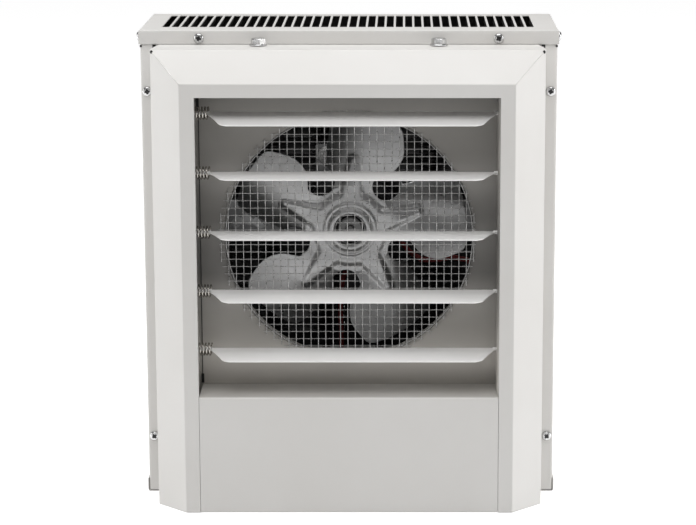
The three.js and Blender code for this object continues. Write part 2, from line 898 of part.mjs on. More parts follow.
function fanBlade() {
  const columns = blade_columns;
  const positions = [];
  for (const face of [0, fan_thickness]) {
    for (const [share, lead, trail] of blade_stations) {
      for (let c = 0; c < columns; c++) {
        const angle = lead + ((trail - lead) * c) / (columns - 1);
        const radius = (share * fan_diameter) / 2;
        const turn = THREE.MathUtils.degToRad(angle);
        positions.push(radius * Math.cos(turn), bladeSetback(radius, angle) + face, radius * Math.sin(turn));
      }
    }
  }
  const rows = blade_stations.length;
  const at = (face, r, c) => (face * rows + r) * columns + c;
  const triangles = [];
  const quad = (a, b, c, d) => triangles.push(a, b, c, a, c, d);
  for (let r = 0; r < rows - 1; r++) {
    for (let c = 0; c < columns - 1; c++) {
      quad(at(0, r, c), at(0, r + 1, c), at(0, r + 1, c + 1), at(0, r, c + 1));
      quad(at(1, r, c), at(1, r, c + 1), at(1, r + 1, c + 1), at(1, r + 1, c));
    }
    quad(at(0, r, 0), at(1, r, 0), at(1, r + 1, 0), at(0, r + 1, 0));
    quad(at(0, r, columns - 1), at(0, r + 1, columns - 1), at(1, r + 1, columns - 1), at(1, r, columns - 1));
  }
  for (let c = 0; c < columns - 1; c++) {
    quad(at(0, 0, c), at(0, 0, c + 1), at(1, 0, c + 1), at(1, 0, c));
    quad(at(0, rows - 1, c), at(1, rows - 1, c), at(1, rows - 1, c + 1), at(0, rows - 1, c + 1));
  }
  const geometry = new THREE.BufferGeometry();
  geometry.setAttribute('position', new THREE.Float32BufferAttribute(positions, 3));
  geometry.setIndex(triangles);
  return toSolid(geometry);
}

// A raised arm of the star pressed into the hub: wide at the hub, narrow on the blade, with sloping sides.
// Its corners follow the blade that it is pressed from.
function starArm() {
  const root = boss_diameter / 2;
  const slope = arm_rise / 2;
  const base = [[root, arm_root_width / 2], [arm_length, arm_tip_width / 2]];
  const crest = [[root, arm_root_width / 2 - slope], [arm_length - slope, arm_tip_width / 2 - slope]];
  const corner = (x, z, rise) => {
    const angle = star_lead + THREE.MathUtils.radToDeg(Math.atan2(z, x));
    return [x, bladeSetback(Math.hypot(x, z), angle) + rise, z];
  };
  const ring = ([near, far], rise) => [
    corner(near[0], near[1], rise), corner(far[0], far[1], rise),
    corner(far[0], -far[1], rise), corner(near[0], -near[1], rise),
  ];
  const positions = [...ring(base, 0.9 * fan_thickness), ...ring(crest, -arm_rise)].flat();
  const triangles = [0, 1, 2, 0, 2, 3, 4, 6, 5, 4, 7, 6];
  for (let i = 0; i < 4; i++) {
    const next = (i + 1) % 4;
    triangles.push(i, i + 4, next + 4, i, next + 4, next);
  }
  const geometry = new THREE.BufferGeometry();
  geometry.setAttribute('position', new THREE.Float32BufferAttribute(positions, 3));
  geometry.setIndex(triangles);
  return toSolid(geometry).rotate([0, -star_lead, 0]);
}

// The pressed hub steps down from its boss to the body of the star, and from that to its flat rim.
function fanHubPlate() {
  const bore = shaft_diameter / 2 + gap;
  const boss = boss_diameter / 2;
  const body = star_diameter / 2;
  const front = [
    [bore, -hub_crown], [boss, -hub_crown], [boss + boss_step, -arm_rise], [body, -arm_rise],
    [body + star_step, 0], [hub_diameter / 2, 0],
  ];
  const back = front.map(([r, y]) => [r, y + hub_thickness]).reverse();
  return revolve([...front, ...back], hub_sides);
}

function fanWheel() {
  const one = fanBlade().add(starArm());
  const step = 360 / fan_blades;
  const hollow = bar(
    'y', boss_diameter + boss_step, -hub_crown - overcut, fan_thickness + overcut, [0, 0], hub_sides,
  );
  const blades = Array.from({ length: fan_blades }, (_, i) => one.rotate([0, -fan_phase - i * step, 0]));
  const notches = Array.from({ length: fan_blades }, (_, i) => {
    const angle = THREE.MathUtils.degToRad(fan_phase + notch_angle + i * step);
    const place = [(notch_circle / 2) * Math.cos(angle), (notch_circle / 2) * Math.sin(angle)];
    return bar('y', notch_diameter, -hub_diameter, hub_diameter, place, 16);
  });
  return cut(fanHubPlate().add(join(blades).subtract(hollow)), notches);
}

const hub_front = hub_thickness - hub_crown + gap;
const hub_back = fan_thickness + motor_gap - bell_length / 2;

function fanHub() {
  const bore = shaft_diameter / 2 + gap;
  const flange = collar_diameter / 2;
  const barrel = barrel_diameter / 2;
  const step = hub_front + collar_flange;
  const collar = revolve([
    [bore, hub_front], [flange, hub_front], [flange, step],
    [barrel, step], [barrel, hub_back], [bore, hub_back],
  ], 16);
  const tapped = bar('z', set_screw_diameter + 2 * gap, 0, flange + overcut, [0, (step + hub_back) / 2], 10);
  return collar.subtract(tapped);
}

function setScrew() {
  const middle = (hub_front + collar_flange + hub_back) / 2;
  return bar('z', set_screw_diameter, shaft_diameter / 2 + gap, barrel_diameter / 2, [0, middle], 10);
}

// ---------------------------------------------------------------- motor

function motorBell(front) {
  const radius = motor_diameter / 2;
  const lengths = front ? [0, bell_length] : [motor_length, motor_length - bell_length];
  const [face, seam] = lengths;
  const inward = Math.sign(seam - face);
  const bore = shaft_diameter / 2 + running_gap;
  const boss = bell_boss / 2;
  const step = face + inward * bell_step;
  const edge = seam - (inward * gap) / 2;
  const profile = [
    [bore, face], [boss, face], [boss, step], [radius - bell_round, step],
    [radius - motor_groove, step + inward * (bell_step - motor_groove)], [radius, edge], [bore, edge],
  ];
  return revolve(profile, motor_sides).translate([0, motor_front, axis_height]);
}

function motorShell() {
  const radius = motor_diameter / 2;
  const start = bell_length + gap / 2;
  const end = motor_length - bell_length - gap / 2;
  const bore = shaft_diameter / 2 + running_gap;
  const waist = radius - motor_groove;
  const profile = [
    [bore, start], [radius, start], [radius, start + motor_land], [waist, start + motor_land + motor_groove],
    [waist, end - motor_land - motor_groove], [radius, end - motor_land], [radius, end], [bore, end],
  ];
  return revolve(profile, motor_sides).translate([0, motor_front, axis_height]);
}

const stud_places = [-stud_circle / 2, stud_circle / 2];

// The strap runs from wall to wall behind the motor, with a foot bent forward on each wall.
function motorStrap() {
  const half = strap_width / 2;
  const foot = strap_back - strap_foot;
  const path = [
    [-lining_half, foot], [-lining_half, strap_back], [lining_half, strap_back], [lining_half, foot],
  ];
  const strap = foldedSheet(
    'z', path, axis_height - half, axis_height + half, -strap_thickness, strap_thickness * 1.5,
  );
  const studHoles = stud_places.map((x) => bar(
    'y', stud_diameter + 2 * gap, strap_front - overcut, strap_back + overcut, [x, axis_height],
  ));
  const shaftHole = bar(
    'y', strap_window, strap_front - overcut, strap_back + overcut, [0, axis_height],
  );
  return cut(strap, [...studHoles, shaftHole]);
}

// Stud out of the motor's rear bell, with its nut behind the strap.
function motorNut(x) {
  const nut_back = strap_back + gap + nut_height;
  const root = motor_back - stud_depth + gap;
  const stud = bar('y', stud_diameter, root, nut_back + stud_proud, [x, axis_height], 8);
  const nut = extrude('y', hexagon(nut_width), strap_back + gap, nut_back);
  return stud.add(nut.translate([x, 0, axis_height]));
}

// ---------------------------------------------------------------- heating elements

const element_base = divider_base - terminal_drop;

function heatingElement([left, right]) {
  const radius = (right - left) / 2;
  const middle = (left + right) / 2;
  const arc = Array.from({ length: 9 }, (_, k) => {
    const angle = Math.PI - (k / 8) * Math.PI;
    return new THREE.Vector3(
      middle + radius * Math.cos(angle), element_y, element_top + radius * Math.sin(angle),
    );
  });
  const route = [
    new THREE.Vector3(left, element_y, element_base),
    ...arc,
    new THREE.Vector3(right, element_y, element_base),
  ];
  const sheath = toSolid(tube(route, element_tube, 8));
  const pieces = [sheath];
  for (const x of [left, right]) {
    const tip = element_base - terminal_length;
    pieces.push(bar('z', terminal_diameter, tip, element_base + overcut, [x, element_y], 8));
    for (let i = 0; i < fin_count; i++) {
      const z = divider_top + fin_start + i * fin_pitch;
      pieces.push(bar('z', fin_diameter, z, z + fin_thickness, [x, element_y], 8));
    }
  }
  return join(pieces);
}

function elementSupport() {
  const z = element_top - support_drop;
  const front = element_y - support_width / 2;
  const back = element_y + support_width / 2;
  const path = [[back, z], [front, z], [front, z + support_width / 2]];
  const rail = foldedSheet('x', path, -lining_half, lining_half, -support_thickness);
  const holes = element_legs.flat().map((x) => bar(
    'z', element_tube + 2 * gap, z - overcut, z + support_thickness + overcut, [x, element_y], 8,
  ));
  return cut(rail, holes);
}

// ---------------------------------------------------------------- over-temperature cut-out

const cutout_plate_front = strap_back + gap;
const cutout_plate_back = cutout_plate_front + sheet;
const cutout_z = axis_height + motor_diameter / 2 + cutout_diameter / 2 + cutout_rise;

// An upright plate on the back of the motor strap, with the cut-out on its front face over the motor.
function cutoutBracket() {
  const half = cutout_diameter / 2 + cutout_margin;
  const outline = roundCorners([
    [-cutout_reach - half, axis_height - strap_width / 2],
    [-cutout_reach - half, cutout_z + half],
    [-cutout_reach + half, cutout_z + half],
    [-cutout_reach + half, axis_height - strap_width / 2],
  ], cutout_margin);
  const plate = extrude('y', outline, cutout_plate_front, cutout_plate_back);
  const window = bar(
    'y', cutout_window, cutout_plate_front - overcut, cutout_plate_back + overcut,
    [-cutout_reach, cutout_z],
  );
  return plate.subtract(window);
}

function overheatCutout() {
  const back = cutout_plate_front - gap;
  const front = back - cutout_length;
  const rim = back - cutout_flange;
  const can = cutout_can / 2;
  const flange = cutout_diameter / 2;
  const body = revolve([
    [0, front], [can, front], [can, rim], [flange, rim], [flange, back], [0, back],
  ], 16).translate([-cutout_reach, 0, cutout_z]);
  const [thickness, length, width] = cutout_tab;
  const tabs = [-1, 1].map((side) => {
    const x = -cutout_reach + (side * cutout_tab_spacing) / 2;
    return box(
      x - thickness / 2, x + thickness / 2, front - length, front + overcut,
      cutout_z - width / 2, cutout_z + width / 2,
    );
  });
  return join([body, ...tabs]);
}

// ---------------------------------------------------------------- wiring compartment

const floor_top = sheet + gap;

// A block standing on the base, centred on a place, from one height above the floor to another.
function block([width, depth, height], [x, y], base = 0) {
  return box(
    x - width / 2, x + width / 2, y - depth / 2, y + depth / 2, floor_top + base, floor_top + base + height,
  );
}

function contactor() {
  const [x, y] = contactor_at;
  const [across, along] = contactor_well_pitch;
  const well_floor = contactor_base[2] - contactor_well[2];
  const wells = [-1, 0, 1].flatMap((column) => [-1, 1].map((row) => block(
    [contactor_well[0], contactor_well[1], contactor_tower[2]],
    [x + column * across, y + (row * along) / 2], well_floor,
  )));
  return cut(block(contactor_base, contactor_at).add(block(contactor_tower, contactor_at)), wells);
}

function terminalBlock() {
  const [width, depth] = terminal_block_size;
  const [x, y] = terminal_block_at;
  const pitch = (width - barrier_thickness) / terminal_ways;
  const barriers = Array.from({ length: terminal_ways + 1 }, (_, i) => block(
    [barrier_thickness, depth, barrier_height], [x + (i - terminal_ways / 2) * pitch, y],
  ));
  return join([block(terminal_block_size, terminal_block_at), ...barriers]);
}

function groundLug() {
  const [, depth, height] = lug_size;
  const [x, y] = lug_at;
  const top = floor_top + height;
  const wireHole = bar('y', lug_bore, y - depth, y + depth, [x, floor_top + lug_bore_height]);
  const clamp = bar('z', lug_screw, top - overcut, top + lug_screw_proud, lug_at);
  return block(lug_size, lug_at).subtract(wireHole).add(clamp);
}

function grommet(x) {
  const outer = grommet_diameter / 2;
  const waist = outer - grommet_groove;
  const shoulder = outer - grommet_groove / 2;
  const bore = lead_diameter / 2 + running_gap;
  const middle = (divider_base + divider_top) / 2;
  const half = sheet / 2 + gap;
  const profile = [
    [bore, -grommet_height / 2], [shoulder, -grommet_height / 2], [outer, -half], [waist, -half],
    [waist, half], [outer, half], [shoulder, grommet_height / 2], [bore, grommet_height / 2],
  ];
  return revolve(profile, grommet_sides).rotate([90, 0, 0]).translate([x, lead_y, middle]);
}

function leadAlong(points) {
  const curve = new THREE.CatmullRomCurve3(points.map((point) => new THREE.Vector3(...point)));
  return tube(curve.getSpacedPoints(lead_steps), lead_diameter, 6);
}

function lowerLead() {
  const exit = axis_height - motor_diameter / 2 - gap;
  return leadAlong([
    [lower_lead_x + lead_diameter, lead_y, exit],
    [lower_lead_x, lead_y, exit - lead_bend],
    [lower_lead_x, lead_y, divider_top + lead_bend],
    [lower_lead_x, lead_y, divider_base - lead_tail],
  ]);
}

function sideLead() {
  const exit = motor_diameter / 2 + gap;
  const run = axis_height - side_lead_drop;
  return leadAlong([
    [exit, lead_y, run + lead_bend],
    [exit + lead_bend, lead_y, run],
    [side_lead_x - lead_bend, lead_y, run],
    [side_lead_x, lead_y, run - 2 * lead_bend],
    [side_lead_x, lead_y, divider_top + lead_bend],
    [side_lead_x, lead_y, divider_base - lead_tail],
  ]);
}

// ---------------------------------------------------------------- fasteners

// A pan head screw along +Y: its head stands in front of y = 0 and its shank goes behind it.
function panScrew() {
  const head = screw_head / 2;
  const shank = screw_shank / 2;
  return revolve([
    [0, -screw_head_height], [screw_crown / 2, -screw_head_height + gap], [head, -screw_rim],
    [head, -gap], [shank, -gap], [shank, screw_length], [0, screw_length],
  ], screw_sides);
}

// A hex washer-head bolt along -Z: its washer rests on z = 0.
function hexBolt() {
  const washer = bar('z', washer_diameter, gap, gap + washer_height, [0, 0], 16);
  const head = extrude('z', hexagon(bolt_hex), gap, gap + washer_height + bolt_head_height);
  const shank = bar('z', bolt_shank, -bolt_length, washer_height, [0, 0]);
  return join([washer, head, shank]);
}

// ---------------------------------------------------------------- assembly

addPiece('side_panel_left', sidePanel(-1), paint);
addPiece('side_panel_right', sidePanel(1), paint);
addPiece('top_cap', topCap(), paint);
addPiece('bottom_pan', bottomPan(), paint);
addPiece('rear_panel', rearPanel(), paint);
addPiece('header_rail', headerRail(), paint);
addPiece('divider_floor', dividerFloor(), galvanised);
addPiece('fan_partition', fanPartition(), innerPaint);
addPiece('guard_mesh', guardMesh(), wire);
addPiece('front_frame', frontFrame(), paint);
addPiece('access_panel', accessPanel(), paint);
addPiece('louver_channel_left', louverChannel(-1), innerPaint);
addPiece('louver_channel_right', louverChannel(1), innerPaint);

const blade = toGeometry(louverBlade());
const coil = springPoints();
const spring = tube(coil, spring_wire, curl_sides);
for (let i = 0; i < louver_count; i++) {
  const pivot = new THREE.Group();
  pivot.position.set(0, louver_y, louverZ(i));
  pivot.rotation.x = THREE.MathUtils.degToRad(louver_tilts[i]);
  addPiece(`louver_${i + 1}`, blade, paint, pivot);
  addPiece(`louver_spring_${i + 1}`, spring, springSteel, pivot);
  heater.add(pivot);
}
console.log(`least spring gap ${leastSpringGap(coil).toFixed(2)} mm`);

const rotor = new THREE.Group();
rotor.position.set(0, fan_y, axis_height);
addPiece('fan_wheel', fanWheel(), aluminium, rotor);
addPiece('fan_hub', fanHub(), zinc, rotor);
const shaft_front = -hub_crown - shaft_nose;
const shaft_back = fan_thickness + motor_gap + motor_length - bell_length / 2;
addPiece('motor_shaft', bar('y', shaft_diameter, shaft_front, shaft_back, [0, 0]), zinc, rotor);
addPiece('hub_set_screw', setScrew(), zinc, rotor);
heater.add(rotor);

addPiece('motor_front_bell', motorBell(true), motorPaint);
addPiece('motor_shell', motorShell(), motorPaint);
addPiece('motor_rear_bell', motorBell(false), motorPaint);
addPiece('motor_strap', motorStrap(), galvanised);
addPiece('motor_nut_left', motorNut(stud_places[0]), zinc);
addPiece('motor_nut_right', motorNut(stud_places[1]), zinc);

element_legs.forEach((legs, i) => addPiece(`heating_element_${i + 1}`, heatingElement(legs), elementSteel));
addPiece('element_support', elementSupport(), galvanised);
addPiece('cutout_bracket', cutoutBracket(), galvanised);
addPiece('overheat_cutout', overheatCutout(), ceramic);

addPiece('contactor', contactor(), phenolic);
addPiece('terminal_block', terminalBlock(), phenolic);
addPiece('ground_lug', groundLug(), brass);
addPiece('grommet_lower', grommet(lower_lead_x), rubber);
addPiece('grommet_side', grommet(side_lead_x), rubber);
addPiece('lead_lower', lowerLead(), redLead);
addPiece('lead_side', sideLead(), redLead);

const screw = toGeometry(panScrew());
for (const [word, side] of [['left', -1], ['right', 1]]) {
  addPiece(`cap_screw_${word}`, screw, zinc).position.set(side * cap_screw_x, cap_front, cap_screw_z);
  const sideScrew = addPiece(`side_screw_${word}`, screw, zinc);
  sideScrew.position.set(side * cap_half, side_screw_y, cap_screw_z);
  sideScrew.rotation.z = (side * Math.PI) / 2;
  ['upper', 'lower'].forEach((level, i) => {
    const place = [side * flange_screw_x, case_front, flange_screw_heights[i]];
    addPiece(`flange_screw_${level}_${word}`, screw, zinc).position.set(...place);
  });
}

const bolt = toGeometry(hexBolt());
addPiece('frame_bolt_left', bolt, zinc).position.set(-bolt_x, bolt_y, frame_top);
addPiece('frame_bolt_right', bolt, zinc).position.set(bolt_x, bolt_y, frame_top);

export default heater;
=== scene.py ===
import json
import math

import bmesh
import bpy
from mathutils import Matrix, Vector
from mathutils.geometry import delaunay_2d_cdt


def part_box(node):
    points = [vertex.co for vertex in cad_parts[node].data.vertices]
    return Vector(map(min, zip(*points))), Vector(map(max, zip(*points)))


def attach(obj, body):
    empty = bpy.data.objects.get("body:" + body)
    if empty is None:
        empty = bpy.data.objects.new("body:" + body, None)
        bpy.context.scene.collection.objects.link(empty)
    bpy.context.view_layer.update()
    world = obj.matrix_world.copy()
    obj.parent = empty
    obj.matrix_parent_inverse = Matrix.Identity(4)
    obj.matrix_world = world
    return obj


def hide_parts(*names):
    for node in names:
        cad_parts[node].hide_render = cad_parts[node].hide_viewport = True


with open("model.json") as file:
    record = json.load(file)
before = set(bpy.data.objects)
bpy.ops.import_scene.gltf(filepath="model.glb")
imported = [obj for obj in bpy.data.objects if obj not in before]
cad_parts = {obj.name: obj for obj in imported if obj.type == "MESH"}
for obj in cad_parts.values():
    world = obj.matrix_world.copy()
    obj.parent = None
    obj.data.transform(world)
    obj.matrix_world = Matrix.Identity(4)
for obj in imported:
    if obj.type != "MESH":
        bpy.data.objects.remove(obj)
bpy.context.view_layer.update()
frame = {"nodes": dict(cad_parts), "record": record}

# Lengths are in millimetres here, and MM turns them into metres where a mesh is made.
MM = 0.001
AXIS_HEIGHT = 231
CASE_FRONT, CAP_FRONT, CAP_SIDE = -64, -65.2, 178.2
FRAME_TOP = 394.1
PARTITION_FACE = -81
NODES = frame["nodes"]
SLOTS = {part["node"]: part["material_slot"] for part in frame["record"]["subparts"]}

# ------------------------------------------------------------------ camera and light

scene = bpy.context.scene


def linked(name, data):
    """A new object in the scene that shows data."""
    made = bpy.data.objects.new(name, data)
    scene.collection.objects.link(made)
    return made


camera = linked("camera", bpy.data.cameras.new("camera"))
camera.location = (0.0472, -2.161, 0.6445)
camera.rotation_euler = (math.radians(78.17), 0, 0)
camera.data.lens = 128.43
camera.data.sensor_width = 36
camera.data.shift_x = -0.0812
camera.data.clip_end = 50
scene.camera = camera
scene.view_settings.view_transform = "Standard"


# Places and sizes of the lamps are in metres, and their power is in watts.
LAMP_AIM = Vector((0, -0.05, 0.2))


def softbox(name, place, size, power):
    """A square-edged lamp that faces the middle of the object."""
    lamp = bpy.data.lights.new(name, "AREA")
    lamp.shape = "RECTANGLE"
    lamp.size, lamp.size_y = size
    lamp.energy = power
    stand = linked(name, lamp)
    stand.location = place
    stand.rotation_euler = (LAMP_AIM - Vector(place)).to_track_quat("-Z", "Y").to_euler()


softbox("front_top_light", (0, -1.3, 2.05), (1.8, 1.2), 20)
softbox("overhead_light", (0, 0.1, 2.3), (1.8, 1.2), 22)
softbox("left_light", (-2.2, -0.3, 0.7), (1.0, 1.5), 22)
softbox("right_light", (2.2, -0.3, 0.7), (1.0, 1.5), 27)


def add_node(tree, kind, settings=None, **inputs):
    """A shader node. An input is named, with _ for a blank, or numbered as _0, _1."""
    made = tree.nodes.new("ShaderNode" + kind)
    for key, value in (settings or {}).items():
        setattr(made, key, value)
    for key, value in inputs.items():
        place = int(key[1:]) if key[0] == "_" else key.replace("_", " ")
        socket = made.inputs[place]
        if isinstance(value, bpy.types.NodeSocket):
            tree.links.new(value, socket)
        else:
            socket.default_value = value
    return made


WORLD_LIGHT = 0.185
world = bpy.data.worlds.new("studio")
scene.world = world
world.use_nodes = True
surround = world.node_tree.nodes["Background"]
surround.inputs["Strength"].default_value = WORLD_LIGHT
surround.inputs["Color"].default_value = (1, 1, 1, 1)

# ------------------------------------------------------------------ materials

# In the materials, lengths are in metres: the depth of a grain and the radius of an edge.
GRAIN_DEPTH = 0.0002
SHEET_EDGE, CAST_EDGE, FOLDED_EDGE = 0.0003, 0.0004, 0.0006
# How far the edges go towards near white: partly paint worn thin, partly painted highlight.
EDGE_WEAR_AND_HIGHLIGHT = 0.45


def grey(level, warm=0.0):
    """A linear colour from an sRGB level of 0 to 255, a little warmer for warm above 0."""
    linear = ((level / 255 + 0.055) / 1.055) ** 2.4
    return (linear * (1 + warm), linear, linear * (1 - 1.6 * warm), 1)


class Surface:
    """A procedural material: a Principled shader with texture nodes in the object's own space."""

    def __init__(self, name, roughness, metallic=0.0, stretch=(1, 1, 1)):
        self.material = bpy.data.materials.new(name)
        self.material.use_nodes = True
        self.tree = self.material.node_tree
        self.shader = self.tree.nodes["Principled BSDF"]
        self.shader.inputs["Roughness"].default_value = roughness
        self.shader.inputs["Metallic"].default_value = metallic
        place = self.add("TexCoord").outputs["Object"]
        self.place = self.add("Mapping", Vector=place, Scale=stretch).outputs[0]
        self.normal = None

    def add(self, kind, settings=None, **inputs):
        return add_node(self.tree, kind, settings, **inputs)

    def noise(self, scale, detail=3.0, roughness=0.5):
        return self.add(
            "TexNoise", Vector=self.place, Scale=scale, Detail=detail, Roughness=roughness,
        ).outputs["Fac"]

    def cells(self, scale):
        return self.add("TexVoronoi", Vector=self.place, Scale=scale).outputs["Color"]

    def axis(self, number):
        """The place along X, Y or Z, in metres."""
        return self.add("SeparateXYZ", Vector=self.place).outputs[number]

    def math(self, operation, first, second):
        return self.add("Math", {"operation": operation}, _0=first, _1=second).outputs[0]

    def spread(self, value, low, high, start=0.3, end=0.7):
        """The value stretched from the range start to end onto the range low to high."""
        return self.add(
            "MapRange", Value=value, From_Min=start, From_Max=end, To_Min=low, To_Max=high,
        ).outputs[0]

    def blend(self, factor, first, second):
        """The first colour where factor is 0, and the second where it is 1."""
        mix = self.add("Mix", {"data_type": "RGBA", "blend_type": "MIX"}, _0=factor)
        for socket, value in ((mix.inputs[6], first), (mix.inputs[7], second)):
            if isinstance(value, bpy.types.NodeSocket):
                self.tree.links.new(value, socket)
            else:
                socket.default_value = value
        return mix.outputs[2]

    def link(self, value, socket):
        self.tree.links.new(value, self.shader.inputs[socket])

    def rounded(self, radius):
        """Light catches the edges as if they had this radius."""
        self.normal = self.add("Bevel", {"samples": 4}, Radius=radius).outputs[0]

    def edges(self):
        """1 along the rounded edges, 0 on flat faces."""
        flat = self.add("NewGeometry").outputs["Normal"]
        turn = self.add("VectorMath", {"operation": "DOT_PRODUCT"}, _0=self.normal, _1=flat)
        return self.spread(turn.outputs["Value"], 1, 0, 0.75, 0.99)

    def bump(self, height, strength, distance):
        inputs = {"Height": height, "Strength": strength, "Distance": distance}
        if self.normal is not None:
            inputs["Normal"] = self.normal
        self.normal = self.add("Bump", **inputs).outputs[0]

    def done(self):
        if self.normal is not None:
            self.link(self.normal, "Normal")
        return self.material


def painted(name, level, roughness, warm, coat, edge, mottle=0.05, layer=None):
    """Baked paint: slight orange peel and mottling, lighter along the edges, partly paint worn thin
    and partly painted highlight.
    """
    made = Surface(name, roughness)
    made.rounded(edge)
    cloud = made.spread(made.noise(9, 4), 0, 1)
    tone = made.blend(cloud, grey(level - 3, warm), grey(level + 2, warm * 0.8))
    if layer:
        tone = layer(made, tone)
    # Near white along the edges: painted highlight mixed with worn paint.
    wear_and_highlight = made.blend(EDGE_WEAR_AND_HIGHLIGHT, tone, grey(250, 0.004))
    made.link(made.blend(made.edges(), tone, wear_and_highlight), "Base Color")
    made.link(made.spread(made.noise(55), roughness - mottle, roughness + mottle), "Roughness")
    made.shader.inputs["Coat Weight"].default_value = coat
    made.shader.inputs["Coat Roughness"].default_value = 0.15
    made.bump(made.noise(1100, 2), 0.12, GRAIN_DEPTH)
    return made.done()


def painted_light_above_below(made, tone):
    """Painted light: lighter towards the bottom and the top, with the middle band left darker as
    painted shade.
    """
    height = made.axis(2)
    low = made.spread(height, 1, 0, 0.13, 0.2)
    high = made.spread(height, 0, 1, 0.235, 0.3)
    # Lighter tones towards the bottom and the top as painted light.
    tone = made.blend(low, tone, grey(188, 0.045))
    return made.blend(high, tone, grey(150, 0.04))


# Boxes as spans along X, Y and Z where shade is painted: the ledge over the lower panel, and the
# inside of the case.
LEDGE = ((-126.8, 126.8), (-126.3, -79), (90, 102.6))
CASE_INSIDE = ((-176.6, 176.6), (-62.6, 63.6), (1.6, 405.3))
MASK_EDGE = 0.1


def within(made, spans):
    """A mask that is 1 inside a box of three spans and 0 outside it."""
    mask = 1
    for axis, (low, high) in enumerate(spans):
        place = made.axis(axis)
        above = made.spread(place, 0, 1, (low - MASK_EDGE) * MM, (low + MASK_EDGE) * MM)
        below = made.spread(place, 1, 0, (high - MASK_EDGE) * MM, (high + MASK_EDGE) * MM)
        mask = made.math("MULTIPLY", mask, made.math("MULTIPLY", above, below))
    return mask


def painted_shade_inside(made, tone):
    """Painted shade: the ledge made darker, and the faces inside the case near black over their
    bare primer.
    """
    tone = made.blend(within(made, LEDGE), tone, grey(196, 0.03))
    return made.blend(within(made, CASE_INSIDE), tone, grey(48, 0.02))


def rolled_metal(
    name, level, roughness, streak=260, warm=0.0, edge=0.0, metallic=1.0, stretch=(1, 1, 1),
):
    """Bare or plated metal: rolling streaks, soft stains and uneven gloss."""
    made = Surface(name, roughness, metallic, stretch)
    stain = made.spread(made.noise(22, 4), 0, 1)
    tone = made.blend(stain, grey(level - 10, warm), grey(level + 8, warm))
    made.link(tone, "Base Color")
    gloss = made.spread(made.noise(streak, 5, 0.65), roughness - 0.08, roughness + 0.1)
    made.link(gloss, "Roughness")
    if edge:
        made.rounded(edge)
    made.bump(made.noise(streak * 3, 3), 0.1, GRAIN_DEPTH)
    return made.done()


def spangled(name, level, roughness):
    """Galvanised sheet: patches of zinc crystals, each with its own tone and gloss."""
    made = Surface(name, roughness, 1.0)
    crystal = made.add("SeparateColor", Color=made.cells(110))
    tone = made.blend(crystal.outputs[0], grey(level - 22), grey(level + 10))
    made.link(tone, "Base Color")
    made.link(made.spread(crystal.outputs[1], roughness - 0.1, roughness + 0.12, 0, 1), "Roughness")
    made.rounded(SHEET_EDGE)
    made.bump(made.noise(420), 0.1, GRAIN_DEPTH)
    return made.done()


def moulded(name, color_low, color_high, roughness, bump=0.25):
    """Moulded, cast or extruded stuff with a fine grain."""
    made = Surface(name, roughness)
    made.link(made.blend(made.spread(made.noise(40, 4), 0, 1), color_low, color_high), "Base Color")
    made.link(made.spread(made.noise(300), roughness - 0.07, roughness + 0.08), "Roughness")
    made.rounded(CAST_EDGE)
    made.bump(made.noise(900, 3), bump, GRAIN_DEPTH)
    return made.done()


def heated(name):
    """Steel that has been hot: dark, with straw and blue tints in bands."""
    made = Surface(name, 0.42, 0.9, (1, 1, 2.5))
    band = made.noise(16, 4)
    base = made.blend(made.spread(band, 0, 1), (0.045, 0.04, 0.036, 1), (0.12, 0.105, 0.09, 1))
    tint = made.blend(made.spread(made.noise(30), 0, 0.35), base, (0.06, 0.075, 0.11, 1))
    made.link(tint, "Base Color")
    made.link(made.spread(made.noise(220), 0.34, 0.55), "Roughness")
    made.bump(made.noise(900), 0.15, GRAIN_DEPTH)
    return made.done()


HUB_STEEL = rolled_metal("turned_steel", 104, 0.45, 500, warm=0.01, edge=SHEET_EDGE, metallic=0.7)
MATERIALS = {
    # The enclosure paint carries painted shade on the ledge and inside the case.
    "enclosure_paint": painted(
        "enclosure_paint", 218, 0.5, warm=0.022, coat=0.05, edge=FOLDED_EDGE, layer=painted_shade_inside,
    ),
    "louver_paint": painted(
        "louver_enamel", 250, 0.34, warm=0.01, coat=0.2, edge=SHEET_EDGE, mottle=0.01,
    ),
    # The inner paint is the enclosure's paint made much darker and warmer: painted shade on the
    # recessed partition and louver channels, with painted light above and below its middle.
    "inner_paint": painted(
        "inner_paint", 115, 0.45, warm=0.045, coat=0, edge=CAST_EDGE, layer=painted_light_above_below,
    ),
    "guard_wire": rolled_metal("guard_wire", 168, 0.28, 500, warm=0.01),
    "spring_steel": rolled_metal("spring_wire", 168, 0.2, 700, warm=0.05),
    "stamped_aluminium": rolled_metal(
        "fan_sheet", 158, 0.34, metallic=0.88, stretch=(0.35, 1, 1.6),
    ),
    "zinc_hardware": rolled_metal("zinc_plate", 196, 0.2, 420, edge=SHEET_EDGE),
    "galvanised_steel": spangled("galvanised_sheet", 150, 0.4),
    "motor_paint": moulded(
        "motor_enamel", (0.012, 0.012, 0.013, 1), (0.022, 0.022, 0.024, 1), 0.42,
    ),
    "element_sheath": heated("element_steel"),
    "cutout_ceramic": moulded("glazed_ceramic", grey(222, 0.01), grey(236, 0.01), 0.3, bump=0.1),
    "black_moulding": moulded("phenolic", (0.01, 0.01, 0.011, 1), (0.018, 0.018, 0.02, 1), 0.45),
    "lug_brass": rolled_metal("brass", 190, 0.3, 350, warm=0.16, edge=SHEET_EDGE),
    "grommet_rubber": moulded("rubber", (0.008, 0.008, 0.008, 1), (0.016, 0.016, 0.016, 1), 0.75),
    "lead_insulation": moulded("lead_jacket", (0.1, 0.006, 0.005, 1), (0.15, 0.012, 0.01, 1), 0.65),
}

for name, node in NODES.items():
    node.data.materials.clear()
    node.data.materials.append(MATERIALS[SLOTS[name]])

# ------------------------------------------------------------------ mesh helpers

SMOOTH_UP_TO = 40
WELD_METRES = 1e-7


